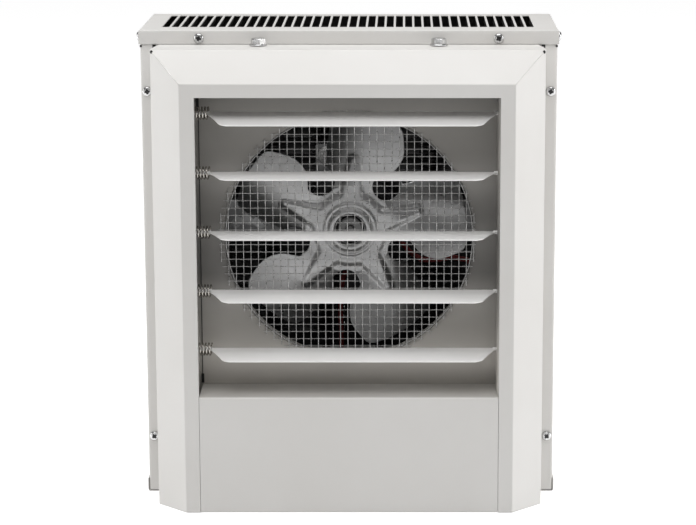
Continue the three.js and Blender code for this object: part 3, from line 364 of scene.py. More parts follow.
def smoothing_group():
    """Geometry nodes that weld a CAD node's faces and shade them smooth up to a crease angle."""
    group = bpy.data.node_groups.new("weld_and_smooth", "GeometryNodeTree")
    group.interface.new_socket("Geometry", in_out="INPUT", socket_type="NodeSocketGeometry")
    group.interface.new_socket("Geometry", in_out="OUTPUT", socket_type="NodeSocketGeometry")
    make = group.nodes.new
    start, end = make("NodeGroupInput"), make("NodeGroupOutput")
    weld = make("GeometryNodeMergeByDistance")
    weld.inputs["Distance"].default_value = 0.01 * MM
    faces = make("GeometryNodeSetShadeSmooth")
    angle = make("GeometryNodeInputMeshEdgeAngle")
    gentle = make("FunctionNodeCompare")
    gentle.data_type, gentle.operation = "FLOAT", "LESS_THAN"
    gentle.inputs[1].default_value = math.radians(SMOOTH_UP_TO)
    edges = make("GeometryNodeSetShadeSmooth")
    edges.domain = "EDGE"
    link = group.links.new
    link(start.outputs[0], weld.inputs["Geometry"])
    link(weld.outputs[0], faces.inputs["Geometry"])
    link(faces.outputs[0], edges.inputs["Geometry"])
    link(angle.outputs["Unsigned Angle"], gentle.inputs[0])
    link(gentle.outputs[0], edges.inputs["Shade Smooth"])
    link(edges.outputs[0], end.inputs[0])
    return group


SMOOTHING = smoothing_group()


def keep_faces_flat(made):
    """Weighs normals by face area, so that flat faces stay flat beside bends and bevels."""
    weigh = made.modifiers.new("flat_faces_stay_flat", "WEIGHTED_NORMAL")
    weigh.keep_sharp = True
    return weigh


def smooth_cad(node):
    """Shades a CAD node: flat faces flat, and bends smooth."""
    custom = node.data.attributes.get("custom_normal")
    if custom:
        node.data.attributes.remove(custom)
    node.modifiers.new("weld_and_smooth", "NODES").node_group = SMOOTHING
    keep_faces_flat(node).weight = 100


for node in NODES.values():
    smooth_cad(node)


def clean_mesh(name, vertices, faces, place=None):
    """A mesh of points in millimetres, moved by place, with all faces turned outwards."""
    mesh = bpy.data.meshes.new(name)
    mesh.from_pydata([Vector(v) * MM for v in vertices], [], faces)
    shape = bmesh.new()
    shape.from_mesh(mesh)
    bmesh.ops.remove_doubles(shape, verts=shape.verts, dist=WELD_METRES)
    bmesh.ops.recalc_face_normals(shape, faces=shape.faces)
    if place:
        bmesh.ops.transform(shape, matrix=place, verts=shape.verts)
    shape.to_mesh(mesh)
    shape.free()
    return mesh


def piece(
    name, vertices, faces, slot, body="housing", material=None, replaces=(), crease=35, place=None,
):
    """A finished piece that rides on a body, in its slot's material unless one is given."""
    mesh = clean_mesh(name, vertices, faces, place)
    mesh.polygons.foreach_set("use_smooth", [True] * len(mesh.polygons))
    mesh.set_sharp_from_angle(angle=math.radians(crease))
    mesh.materials.append(material or MATERIALS[slot])
    made = linked(name, mesh)
    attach(made, body)
    if replaces:
        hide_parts(*replaces)
    return made


def grid_faces(rows, columns, wrap_rows=False, wrap_columns=False):
    """Faces between neighbouring points of a grid, closed round where it wraps."""
    faces = []
    for r in range(rows if wrap_rows else rows - 1):
        for c in range(columns if wrap_columns else columns - 1):
            a, b = r * columns + c, r * columns + (c + 1) % columns
            below = ((r + 1) % rows) * columns
            faces.append((a, b, below + (c + 1) % columns, below + c))
    return faces


def sweep(points, radius, sides):
    """Vertices and faces of a round tube along points, with flat ends."""
    points = [Vector(p) for p in points]
    vertices = []
    side = None
    for i, point in enumerate(points):
        along = (points[min(i + 1, len(points) - 1)] - points[max(i - 1, 0)]).normalized()
        if side is None:
            side = along.orthogonal()
        side = (side - along * side.dot(along)).normalized()
        up = along.cross(side)
        for k in range(sides):
            turn = 2 * math.pi * k / sides
            vertices.append(point + (side * math.cos(turn) + up * math.sin(turn)) * radius)
    faces = grid_faces(len(points), sides, wrap_columns=True)
    faces.append(tuple(range(sides)))
    faces.append(tuple(range(len(vertices) - sides, len(vertices))))
    return vertices, faces


def lathe(profile, segments, closed=True):
    """Vertices and faces of a [radius, y] profile turned about the Y axis."""
    vertices = []
    for k in range(segments):
        turn = 2 * math.pi * k / segments
        vertices += [(r * math.cos(turn), y, r * math.sin(turn)) for r, y in profile]
    return vertices, grid_faces(segments, len(profile), wrap_rows=True, wrap_columns=closed)


def between_rings(count):
    """Two end faces and the sides between two rings of points."""
    sides = [(k, (k + 1) % count, count + (k + 1) % count, count + k) for k in range(count)]
    return [tuple(range(count)), tuple(range(count, 2 * count)), *sides]


def prism(outline, y0, y1, taper=1.0):
    """An [x, z] outline drawn out along Y, narrowed towards y1."""
    vertices = [(x, y0, z) for x, z in outline] + [(x * taper, y1, z * taper) for x, z in outline]
    return vertices, between_rings(len(outline))


def block(low, high):
    """A plain box between two corners."""
    outline = [(low[0], low[2]), (high[0], low[2]), (high[0], high[2]), (low[0], high[2])]
    return prism(outline, low[1], high[1])


def bar(section, x, z, half):
    """A [y, rise] section drawn out along X, half to each side."""
    vertices = [(x + side * half, y, z + rise) for side in (-1, 1) for y, rise in section]
    return vertices, between_rings(len(section))


def merged(*parts):
    """One set of vertices and faces from several."""
    vertices, faces = [], []
    for part_vertices, part_faces in parts:
        faces += [tuple(i + len(vertices) for i in face) for face in part_faces]
        vertices += list(part_vertices)
    return vertices, faces


def moved(shape, place):
    """A shape's vertices moved by a matrix in metres, with its faces."""
    vertices, faces = shape
    return [place @ (Vector(v) * MM) / MM for v in vertices], faces


def thickened(made, thickness):
    """Gives a sheet its thickness, half to each side."""
    sheet = made.modifiers.new("sheet", "SOLIDIFY")
    sheet.thickness = thickness * MM
    sheet.offset = 0


def at(x, y, z, *turns):
    """A place in millimetres, after turns of (degrees, axis)."""
    matrix = Matrix.Translation(Vector((x, y, z)) * MM)
    for degrees, axis in turns:
        matrix = matrix @ Matrix.Rotation(math.radians(degrees), 4, axis)
    return matrix


ON_AXIS = at(0, 0, AXIS_HEIGHT)


def smoothstep(value, start, end):
    """0 at start and 1 at end, with a soft run between."""
    share = min(max((value - start) / (end - start), 0), 1)
    return share * share * (3 - 2 * share)


def soft_least(first, second, rounding):
    """The lesser of two values, rounded off where they are nearly the same."""
    blend = max(rounding - abs(first - second), 0) / rounding
    return min(first, second) - blend * blend * rounding / 4


def middle_of(node):
    """The middle of a CAD node's box, in millimetres."""
    low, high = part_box(node)
    return (low + high) / 2 / MM


# ------------------------------------------------------------------ fan wheel

FAN_PLACE = at(0, -44, AXIS_HEIGHT, (-11.4, "Y"))
FAN_RADIUS = 101.5
FAN_BLADES = 5
BLADE_STEP = 360 // FAN_BLADES
FAN_THICKNESS = 1.2
# One blade's edge as [radius, degrees], from the notch before it to the notch after it.
BLADE_OUTLINE = [
    (46.7, -17.5), (51, -20), (55.8, -24.5), (61, -28), (66, -29.7), (72, -29.9), (79, -29),
    (84, -27.4), (89, -25.2), (94, -23), (97.6, -21.5), (100, -19.8), (101.3, -17), (101.5, -13),
    (101.5, -6), (101.5, 0), (101.5, 5), (101.5, 9), (101.1, 12), (99.5, 14.4), (96, 16),
    (90, 17.8), (80, 20.3), (70, 23.2), (63, 25.4), (58.5, 27.4),
]
NOTCH_CIRCLE, NOTCH_RADIUS, NOTCH_ANGLE = 48.6, 12.25, 38
NOTCH_START, NOTCH_SWEEP, NOTCH_STEPS = -28, 236, 21
BLADE_ROOT, BLADE_ADVANCE, BLADE_PITCH, BLADE_CURL = 38, 22, 44, 60
PITCH_START, CURL_START = -30, -5
# Past this angle and outside this radius, a point belongs to the leading edge of the next blade.
WRAP_ANGLE, WRAP_RADIUS = 33, 60
STAR_RADIUS, STAR_RISE, STAR_LEAD = 31, 2.4, 3.6
STAR_FLANK, STAR_FILLET = (-2.8, 3.2), 3.0
ARM_START, ARM_REACH, ARM_ROOT, ARM_TIP = 28, 60.5, 9.2, 3.1
BORE_RADIUS, BORE_SIDES = 12.6, 60
# The hub's rings as [height, crown radius, foot radius], then the groove and the dish in them.
HUB_RINGS = [(1.2, 21.4, 24.2), (1.4, 16.6, 19.4)]
HUB_GROOVE, HUB_GROOVE_CIRCLE, HUB_GROOVE_FLANK = 0.5, 20.4, (0.2, 1.2)
HUB_DISH, HUB_DISH_FLANK = 3.4, (14.4, 13.2)
# The wheel's triangles: their size, the free strip along the edge, and what counts as one point.
MESH_STEP, ROW_SHARE, EDGE_STRIP, ONE_POINT = 0.9, 0.866, 0.4, 1e-5
INSIDE_WITH_HOLES = 2


def polar(radius, degrees):
    """A flat point at a radius and an angle."""
    turn = math.radians(degrees)
    return Vector((radius * math.cos(turn), radius * math.sin(turn)))


def blade_setback(radius, angle):
    """How far the pitched and curled blade stands behind the hub plate."""
    reach = max(0, radius - BLADE_ROOT) / (FAN_RADIUS - BLADE_ROOT)
    pitch = math.radians(angle - PITCH_START)
    curl = math.radians(max(0, angle - CURL_START))
    return reach * (BLADE_PITCH * pitch + BLADE_CURL * curl**2 - BLADE_ADVANCE)


def star_distance(point):
    """How far a point lies outside the pressed star, negative inside it."""
    near = point.length - STAR_RADIUS
    for i in range(FAN_BLADES):
        along = polar(1, BLADE_STEP * i + STAR_LEAD)
        reach = point.dot(along)
        if reach <= 0:
            continue
        share = min(max((reach - ARM_START) / (ARM_REACH - ARM_START), 0), 1)
        half = ARM_ROOT + (ARM_TIP - ARM_ROOT) * share
        near_arm = (point - along * min(reach, ARM_REACH)).length - half
        near = soft_least(near, near_arm, STAR_FILLET)
    return near


def hub_height(radius):
    """The stepped rings round the shaft, towards the front."""
    height = sum(rise * (1 - smoothstep(radius, crown, foot)) for rise, crown, foot in HUB_RINGS)
    height -= HUB_GROOVE * (1 - smoothstep(abs(radius - HUB_GROOVE_CIRCLE), *HUB_GROOVE_FLANK))
    return height - HUB_DISH * smoothstep(radius, *HUB_DISH_FLANK)


def fan_outline():
    """The wheel's edge: each blade, then the round notch behind it."""
    points = []
    for i in range(FAN_BLADES):
        turn = BLADE_STEP * i
        points += [polar(r, a + turn) for r, a in BLADE_OUTLINE]
        centre = polar(NOTCH_CIRCLE, NOTCH_ANGLE + turn)
        for k in range(NOTCH_STEPS + 1):
            angle = NOTCH_ANGLE + turn + NOTCH_START - k * NOTCH_SWEEP / NOTCH_STEPS
            points.append(centre + polar(NOTCH_RADIUS, angle))
    return points


def fan_triangles(outline):
    """Flat points and triangles of even size between the wheel's edge and its bore."""
    points = list(outline)
    rows = int(FAN_RADIUS / (MESH_STEP * ROW_SHARE)) + 1
    columns = int(FAN_RADIUS / MESH_STEP) + 1
    for row in range(-rows, rows + 1):
        for column in range(-columns, columns + 1):
            across = (column + 0.5 * (row % 2)) * MESH_STEP
            spot = Vector((across, row * MESH_STEP * ROW_SHARE))
            if BORE_RADIUS < spot.length < FAN_RADIUS - EDGE_STRIP:
                points.append(spot)
    start, count = len(points), len(outline)
    points += [polar(BORE_RADIUS, 360 / BORE_SIDES * k) for k in range(BORE_SIDES)]
    edges = [(k, (k + 1) % count) for k in range(count)]
    edges += [(start + k, start + (k + 1) % BORE_SIDES) for k in range(BORE_SIDES)]
    flat, _, faces, *_ = delaunay_2d_cdt(points, edges, [], INSIDE_WITH_HOLES, ONE_POINT)
    return flat, faces


def inside(point, outline):
    """Whether a point lies within a closed outline."""
    hit = False
    x, y = point
    for i, a in enumerate(outline):
        b = outline[i - 1]
        if (a[1] > y) != (b[1] > y) and x < (b[0] - a[0]) * (y - a[1]) / (b[1] - a[1]) + a[0]:
            hit = not hit
    return hit


def pressed(point):
    """A flat point of the wheel brought to its depth in the stamped sheet."""
    angle = math.degrees(math.atan2(point.y, point.x))
    off = (angle + BLADE_STEP / 2) % BLADE_STEP - BLADE_STEP / 2
    if off > WRAP_ANGLE and point.length > WRAP_RADIUS:
        off -= BLADE_STEP
    rise = STAR_RISE * (1 - smoothstep(star_distance(point), *STAR_FLANK))
    depth = blade_setback(point.length, off) - rise - hub_height(point.length)
    return (point.x, depth, point.y)


def build_fan():
    """The stamped wheel: pitched and curled blades, a pressed star and a stepped hub."""
    outline = fan_outline()
    flat, faces = fan_triangles(outline)
    edge = [tuple(point) for point in outline]
    kept = []
    for face in faces:
        centre = sum((flat[i] for i in face), Vector((0, 0))) / len(face)
        if centre.length > BORE_RADIUS - 0.05 and inside(centre, edge):
            kept.append(face)
    used = sorted({i for face in kept for i in face})
    number = {old: new for new, old in enumerate(used)}
    wheel = piece(
        "fan_sheet", [pressed(flat[i]) for i in used],
        [tuple(number[i] for i in face) for face in kept],
        "stamped_aluminium", "rotor", replaces=["fan_wheel"], crease=60, place=FAN_PLACE,
    )
    thickened(wheel, FAN_THICKNESS)


def build_hub():
    """A turned collar in the hole of the pressed hub, and the shaft with its rounded nose."""
    collar = lathe([
        (4.25, -2.9), (9.6, -2.9), (10.5, -2.2), (10.5, 0.6), (7.7, 1.0), (7.7, 10.2), (4.25, 10.2),
    ], 64)
    piece("fan_collar", *collar, "zinc_hardware", "rotor", HUB_STEEL, ["fan_hub"], place=FAN_PLACE)
    nose = lathe([
        (0.01, -5.2), (2.6, -5.2), (3.2, -4.9), (4.0, -4.1), (4.0, 59.6), (0.01, 59.6),
    ], 48, closed=False)
    piece(
        "rotor_shaft", *nose, "zinc_hardware", "rotor", HUB_STEEL, ["motor_shaft"], place=FAN_PLACE,
    )


# ------------------------------------------------------------------ guard

GUARD_CENTRE = Vector((-1.5, -82.1, AXIS_HEIGHT))
GUARD_RADIUS = 110
GUARD_PITCH = 6.35
WIRE_RADII = {"across": 0.33, "upright": 0.4}
CRIMP = 0.3


def build_guard():
    """Crimped wires, each passing over one cross wire and under the next."""
    parts = []
    count = int((GUARD_RADIUS - 2) / GUARD_PITCH)
    for direction, wire in WIRE_RADII.items():
        across = direction == "across"
        for i in range(-count, count + 1):
            offset = i * GUARD_PITCH
            reach = math.sqrt(GUARD_RADIUS**2 - offset**2)
            steps = max(4, int(2 * reach / (GUARD_PITCH / 4)))
            line = []
            for k in range(steps + 1):
                along = -reach + 2 * reach * k / steps
                phase = math.pi * (along / GUARD_PITCH + i + (0 if across else 1))
                depth = CRIMP * math.cos(phase)
                spot = (along, depth, offset) if across else (offset, depth, along)
                line.append(GUARD_CENTRE + Vector(spot))
            parts.append(sweep(line, wire, 6))
    piece("woven_guard", *merged(*parts), "guard_wire", replaces=["guard_mesh"], crease=70)


# ------------------------------------------------------------------ louvers and springs

LOUVER_Y = -102
LOUVER_COUNT, LOUVER_TOP, LOUVER_PITCH = 5, 341, 50.8
LOUVER_HEIGHTS = [LOUVER_TOP - LOUVER_PITCH * i for i in range(LOUVER_COUNT)]
# Degrees by which each louver's front edge hangs below level, from the top one down.
LOUVER_TILTS = [15.9, 4.1, 4.1, 10.7, 11.1]
BOX_LEFT, BOX_RIGHT = -129.2, 125.6
BLADE_LEFT, BLADE_RIGHT = BOX_LEFT + 10.0, BOX_RIGHT - 0.3
BLADE_BACK, BLADE_FRONT = 1.8, -26.2
BLADE_THICKNESS, BLADE_EDGE = 0.9, 0.22
RIDGE_SHARE, RIDGE_RISE, RIDGE_ROUNDING = 0.47, 0.9, 0.35
END_START, END_SLANT = -0.8, 14
BACK_CORNER, FRONT_CORNER, FRONT_CORNER_DEPTH = 1.6, 5.0, 3.4
# Places of the blade's columns of points, as shares of its width: close near the rounded ends.
BLADE_COLUMNS = [0, 0.004, 0.012, 0.04, 0.1, 0.3, 0.5, 0.7, 0.9, 0.96, 0.988, 0.996, 1]
BLADE_ROWS = 30
PIN_RADIUS, PIN_CHAMFER, PIN_OUT, PIN_IN = 1.6, 0.3, 2.2, 3
SPRING_RADIUS, SPRING_WIRE, SPRING_LENGTH = 4.9, 0.8, 13.2
SPRING_CURLS, SPRING_STEPS = 4.4, 32


def louver_height(depth):
    """Two nearly flat facets that meet in a soft bend."""
    ridge = BLADE_FRONT * RIDGE_SHARE
    front = (depth - BLADE_FRONT) * (RIDGE_RISE / (ridge - BLADE_FRONT))
    back = (BLADE_BACK - depth) * (RIDGE_RISE / (BLADE_BACK - ridge))
    return soft_least(front, back, RIDGE_ROUNDING)


def louver_ends(depth):
    """How far the slanted, rounded ends come in from the blade's full width."""
    share = min(max((END_START - depth) / (END_START - BLADE_FRONT), 0), 1)
    back = smoothstep(depth, 0.2, BLADE_BACK)
    front = max(0, (BLADE_FRONT + FRONT_CORNER_DEPTH - depth) / FRONT_CORNER_DEPTH)
    return END_SLANT * share + BACK_CORNER * (1 - math.sqrt(1 - back**2)) + FRONT_CORNER * front**2


def louver_sheet():
    """The blade's middle surface."""
    vertices = []
    for k in range(BLADE_ROWS + 1):
        depth = BLADE_FRONT + (BLADE_BACK - BLADE_FRONT) * k / BLADE_ROWS
        inset = louver_ends(depth)
        left, right = BLADE_LEFT + inset, BLADE_RIGHT - inset
        height = louver_height(depth)
        vertices += [(left + (right - left) * share, depth, height) for share in BLADE_COLUMNS]
    return vertices, grid_faces(BLADE_ROWS + 1, len(BLADE_COLUMNS))


def pin(start, end):
    """A round pin along X with chamfered ends."""
    nose = PIN_RADIUS - PIN_CHAMFER
    vertices, faces = lathe([
        (0.01, start), (nose, start), (PIN_RADIUS, start + 0.4),
        (PIN_RADIUS, end - 0.4), (nose, end), (0.01, end),
    ], 20, closed=False)
    return [(y, x, z) for x, y, z in vertices], faces


def spring_line():
    """The middle of the spring's wire, coiled round the left pin."""
    start, travel = BOX_LEFT + 0.3 + SPRING_WIRE, SPRING_LENGTH - 2 * SPRING_WIRE
    line = []
    for k in range(int(SPRING_CURLS * SPRING_STEPS) + 1):
        turn = 2 * math.pi * k / SPRING_STEPS
        x = start + travel * k / (SPRING_CURLS * SPRING_STEPS)
        line.append((x, SPRING_RADIUS * math.cos(turn), SPRING_RADIUS * math.sin(turn)))
    return line


def build_louver(i):
    """One blade with its two pins and its coil spring."""
    number = i + 1
    body = f"louver_{number}_body"
    place = at(0, LOUVER_Y, LOUVER_HEIGHTS[i], (LOUVER_TILTS[i], "X"))
    blade = piece(
        f"louver_blade_{number}", *louver_sheet(), "louver_paint", body,
        replaces=[f"louver_{number}"], crease=60, place=place,
    )
    thickened(blade, BLADE_THICKNESS)
    soft = blade.modifiers.new("edges", "BEVEL")
    soft.width = BLADE_EDGE * MM
    soft.segments = 2
    soft.limit_method = "ANGLE"
    soft.angle_limit = math.radians(55)
    keep_faces_flat(blade)
    pins = merged(
        pin(BOX_LEFT - PIN_OUT, BLADE_LEFT + PIN_IN),
        pin(BLADE_RIGHT - PIN_IN, BOX_RIGHT + PIN_OUT),
    )
    piece(f"louver_pins_{number}", *pins, "louver_paint", body, place=place)
    piece(
        f"coil_spring_{number}", *sweep(spring_line(), SPRING_WIRE, 12), "spring_steel", body,
        replaces=[f"louver_spring_{number}"], crease=60, place=place,
    )


# ------------------------------------------------------------------ partition, intake and trim

ORIFICE_RADIUS = 105.8
BEAD_RADIUS, BEAD_SETBACK, BEAD_INSET, BEAD_SIDES = 0.5, 2.6, 0.3, 10
INTAKE_ROWS, INTAKE_PITCH, INTAKE_SIDE = 16, 15, 82
SLOT_HALF_HEIGHT = 4.5
# Sections as [y, rise] from a slot's upper edge.
HEM_LINE = [(58.6, -7.3), (58.3, -8.1), (58.9, -9.0), (59.7, -9.2), (60.2, -8.8)]
HEM_HALF, HEM_HALF_THICKNESS = 73.4, 0.35
CHEEK = [(62.6, -0.6), (58.6, -7.4), (58.6, -9.2), (63.2, -9.2), (63.2, -0.6)]
CHEEK_SIDE, CHEEK_HALF = 73.85, 0.3
SEAM_WIDTH, SEAM_HEIGHT, SEAM_DEPTH = 0.7, 0.12, 0.3
# Dark strips of painted shadow in the corner of channel and partition, as spans along X and Z.
SHADE_STRIPS = [
    ((-128.9, -126.6), (338, 360)), ((-127.4, -126.7), (110, 338)), ((-128.0, -125.8), (103, 111)),
]
SHADE_STRIP_FRONT, SHADE_STRIP_BACK = PARTITION_FACE - 0.75, PARTITION_FACE - 0.25
# The frame's corner hole, filled with a dark cup of painted shade: its place and its radii.
CORNER_HOLE, CORNER_HOLE_RADII = (163.5, -103.0, 392.4), (1.2, 1.5)
# Dark blocks of painted shade in the gaps under the cap beside the frame and at the case's edge:
# outer and inner X, low and high Z.
CAP_GAPS = [(166.4, 163.6, 391.2, 393.9), (177.2, 175.4, 391.9, 393.6)]
GAP_FRONT, GAP_BACK = CASE_FRONT - 0.9, CASE_FRONT - 0.2


def build_orifice_bead():
    """The rolled edge of the orifice, rubbed bright along its inner rim."""
    bead = []
    for k in range(BEAD_SIDES):
        turn = 2 * math.pi * k / BEAD_SIDES
        bead.append((
            ORIFICE_RADIUS - BEAD_INSET + BEAD_RADIUS * math.cos(turn),
            PARTITION_FACE + BEAD_SETBACK + BEAD_RADIUS * math.sin(turn),
        ))
    piece("orifice_bead", *lathe(bead, 180), "guard_wire", place=ON_AXIS, crease=80)


def thick_line(line, half):
    """A closed section that runs along a line, half to each side of it."""
    inner, outer = [], []
    for k, spot in enumerate(line):
        before, after = Vector(line[max(k - 1, 0)]), Vector(line[min(k + 1, len(line) - 1)])
        along = (after - before).normalized()
        across = Vector((-along.y, along.x)) * half
        inner.append(Vector(spot) + across)
        outer.append(Vector(spot) - across)
    return inner + outer[::-1]


def build_intake_hems():
    """Each hood's lower edge folded back on itself, and the webs at its ends."""
    hem = thick_line(HEM_LINE, HEM_HALF_THICKNESS)
    parts = []
    for row in range(INTAKE_ROWS):
        middle = AXIS_HEIGHT + (row - (INTAKE_ROWS - 1) / 2) * INTAKE_PITCH
        top = middle + SLOT_HALF_HEIGHT
        for side in (-1, 1):
            x = side * INTAKE_SIDE
            parts.append(bar(hem, x, top, HEM_HALF))
            parts += [bar(CHEEK, x + end * CHEEK_SIDE, top, CHEEK_HALF) for end in (-1, 1)]
    piece("intake_hems", *merged(*parts), "enclosure_paint", crease=30)


def bead_strip(start, end, normal):
    """A raised bead with sloping sides along a line on a face."""
    start, end, normal = Vector(start), Vector(end), Vector(normal).normalized()
    across = (end - start).cross(normal).normalized() * SEAM_WIDTH / 2
    foot, crown = normal * SEAM_DEPTH, normal * SEAM_HEIGHT
    section = [across - foot, across * 0.5 + crown, -across * 0.5 + crown, -across - foot]
    return [spot + offset for spot in (start, end) for offset in section], between_rings(4)


def build_mitre_seams():
    """Welded and dressed mitres at the two top corners of the front frame."""
    for side, word in ((-1, "left"), (1, "right")):
        outer, inner = (164.2 * side, -102.6, 393.3), (139.9 * side, -126.9, 369.0)
        seam = bead_strip(outer, inner, (side, -1.6, 1))
        piece(f"mitre_seam_{word}", *seam, "enclosure_paint", crease=20)


def build_corner_details():
    """Painted shade: dark strips behind the left channel, dark cups in the frame's corner holes and
    dark blocks in the gaps under the cap.
    """
    # Dark strips as painted shadow in the joint of channel and partition.
    shade_strips = [
        block((left, SHADE_STRIP_FRONT, low), (right, SHADE_STRIP_BACK, high))
        for (left, right), (low, high) in SHADE_STRIPS
    ]
    piece("channel_shade_strips", *merged(*shade_strips), "grommet_rubber", crease=20)
    across, upright = CORNER_HOLE_RADII
    arc = [math.pi * k / 8 for k in range(9)]
    rim = [(across * math.sin(a) + 0.01, upright * math.cos(a)) for a in arc]
    hole = lathe(rim, 16, closed=False)
    x, y, z = CORNER_HOLE
    # Dark cups in the corner holes and dark blocks in the cap gaps, as painted shade.
    dark = []
    for side in (-1, 1):
        dark.append(([(x * side + a, y + c, z + b) for a, b, c in hole[0]], hole[1]))
        for outer, inner, low, high in CAP_GAPS:
            left, right = sorted((outer * side, inner * side))
            dark.append(block((left, GAP_FRONT, low), (right, GAP_BACK, high)))
    piece("corner_hole_and_gap_shades", *merged(*dark), "grommet_rubber", crease=20)


# ------------------------------------------------------------------ motor and heating elements

MOTOR_FRONT, MOTOR_BACK, MOTOR_BORE = -28.8, 19.2, 4.6
SHELL_FRONT, SHELL_BACK = -19.65, 10.05
GROOVE_COUNT, GROOVE_START, GROOVE_PITCH = 13, -14.6, 1.6
ELEMENT_Y, ELEMENT_TOP, ELEMENT_BASE = 40.5, 342, 85.6
ELEMENT_MIDDLES = (-96, 0, 96)
ELEMENT_REACH, ELEMENT_TUBE = 24, 4
FIN_COUNT, FIN_START, FIN_PITCH, FIN_RADIUS = 33, 123.5, 6, 12.4
TERMINAL_RADIUS, TERMINAL_OUT = 2, 12


def motor_bell(face, seam):
    """A cast bell with a raised boss and a rounded shoulder, from its face to its seam."""
    way = 1 if seam > face else -1
    profile = [
        (MOTOR_BORE, face), (12.3, face), (12.8, face + 0.5 * way),
        (12.8, face + 2.6 * way), (13.4, face + 3 * way),
    ]
    for k in range(9):
        turn = math.radians(90 * k / 8)
        profile.append((35 + 6.9 * math.sin(turn), face + way * (3 + 4.4 * (1 - math.cos(turn)))))
    return profile + [(41.9, seam - 0.3 * way), (41.6, seam), (MOTOR_BORE, seam)]


def motor_shell():
    """A laminated shell: a smooth rim at each end and shallow grooves between."""
    profile = [
        (MOTOR_BORE, SHELL_FRONT), (41.7, SHELL_FRONT), (42, -19.3), (42, -16.2), (40.6, -15.2),
    ]
    for k in range(GROOVE_COUNT):
        start = GROOVE_START + GROOVE_PITCH * k
        profile += [(40.6, start), (40.2, start + 0.4), (40.2, start + 0.8), (40.6, start + 1.2)]
    profile += [(40.6, 5.6), (42, 6.6), (42, 9.7)]
    return profile + [(41.7, SHELL_BACK), (MOTOR_BORE, SHELL_BACK)]


def build_motor():
    """The two bells and the laminated shell between them."""
    ends = (("front", MOTOR_FRONT, SHELL_FRONT - 0.3), ("rear", MOTOR_BACK, SHELL_BACK + 0.3))
    for word, face, seam in ends:
        bell = lathe(motor_bell(face, seam), 96)
        name = f"motor_bell_{word}"
        piece(name, *bell, "motor_paint", replaces=[f"motor_{word}_bell"], place=ON_AXIS)
    shell = lathe(motor_shell(), 96)
    piece("motor_laminations", *shell, "motor_paint", replaces=["motor_shell"], place=ON_AXIS)


def hairpin(middle):
    """The middle of a sheath that goes up, over and down."""
    left, right = middle - ELEMENT_REACH, middle + ELEMENT_REACH
    route = [(left, ELEMENT_Y, ELEMENT_BASE)]
    for k in range(25):
        turn = math.pi * (1 - k / 24)
        x, rise = ELEMENT_REACH * math.cos(turn), ELEMENT_REACH * math.sin(turn)
        route.append((middle + x, ELEMENT_Y, ELEMENT_TOP + rise))
    return route + [(right, ELEMENT_Y, ELEMENT_BASE)]


def build_element(i, middle):
    """A hairpin sheath with a close row of crimped fins on each leg, and its two terminals."""
    fin, fin_faces = lathe([
        (ELEMENT_TUBE, -1.1), (4.7, -1.1), (5, -0.3), (FIN_RADIUS, -0.25),
        (FIN_RADIUS, 0.25), (4.6, 0.35), (ELEMENT_TUBE, 0.35),
    ], 24)
    parts = [sweep(hairpin(middle), ELEMENT_TUBE, 20)]
    for x in (middle - ELEMENT_REACH, middle + ELEMENT_REACH):
        terminal = [(x, ELEMENT_Y, ELEMENT_BASE - TERMINAL_OUT), (x, ELEMENT_Y, ELEMENT_BASE + 0.5)]
        parts.append(sweep(terminal, TERMINAL_RADIUS, 12))
        for k in range(FIN_COUNT):
            z = FIN_START + FIN_PITCH * k
            parts.append(([(x + a, ELEMENT_Y + c, z + b) for a, b, c in fin], fin_faces))
    name = f"finned_element_{i}"
    piece(name, *merged(*parts), "element_sheath", replaces=[f"heating_element_{i}"], crease=40)


# ------------------------------------------------------------------ fasteners

SCREW_HEAD_RADIUS, SCREW_SHANK_RADIUS = 4.25, 2.1
SCREW_TURNS = {"left": 18, "right": -33, "upper": 12, "lower": 40}
SIDE_SCREW_TURN = 27
BOLT_ACROSS_FLATS = 11.1
BOLT_TURNS = {"left": -14, "right": -8}


def combined(first, second, operation):
    """The shape left after a boolean of two shapes."""
    made, cutter = (linked("part", clean_mesh("part", *shape)) for shape in (first, second))
    boolean = made.modifiers.new("boolean", "BOOLEAN")
    boolean.object = cutter
    boolean.operation = operation
    boolean.solver = "EXACT"
    result = made.evaluated_get(bpy.context.evaluated_depsgraph_get()).to_mesh()
    vertices = [v.co / MM for v in result.vertices]
    faces = [tuple(p.vertices) for p in result.polygons]
    for used in (made, cutter):
        bpy.data.objects.remove(used)
    return vertices, faces


def cross_outline(arm, half, corner):
    """A four-armed recess with filled inner corners."""
    quarter = [Vector((arm, -half)), Vector((arm, half)), Vector((corner, corner))]
    turned = []
    for k in range(4):
        turned += [tuple(Matrix.Rotation(math.pi / 2 * k, 2) @ spot) for spot in quarter]
    return turned


CROSS = cross_outline(2.6, 0.78, 1.25)


def pan_screw():
    """Pan head with a cross recess; its head stands in front of y = 0."""
    head, shank = SCREW_HEAD_RADIUS, SCREW_SHANK_RADIUS
    profile = [(0.01, -2.58), (1.4, -2.57)]
    for k in range(9):
        turn = math.radians(90 * k / 8)
        profile.append((head - 1.5 * (1 - math.sin(turn)), -0.75 - 1.75 * math.cos(turn) ** 1.2))
    profile += [(head, -0.3), (shank, -0.3), (shank, 8.4), (1.2, 9), (0.01, 9)]
    return combined(lathe(profile, 40, closed=False), prism(CROSS, -2.9, -1.1, 0.55), "DIFFERENCE")


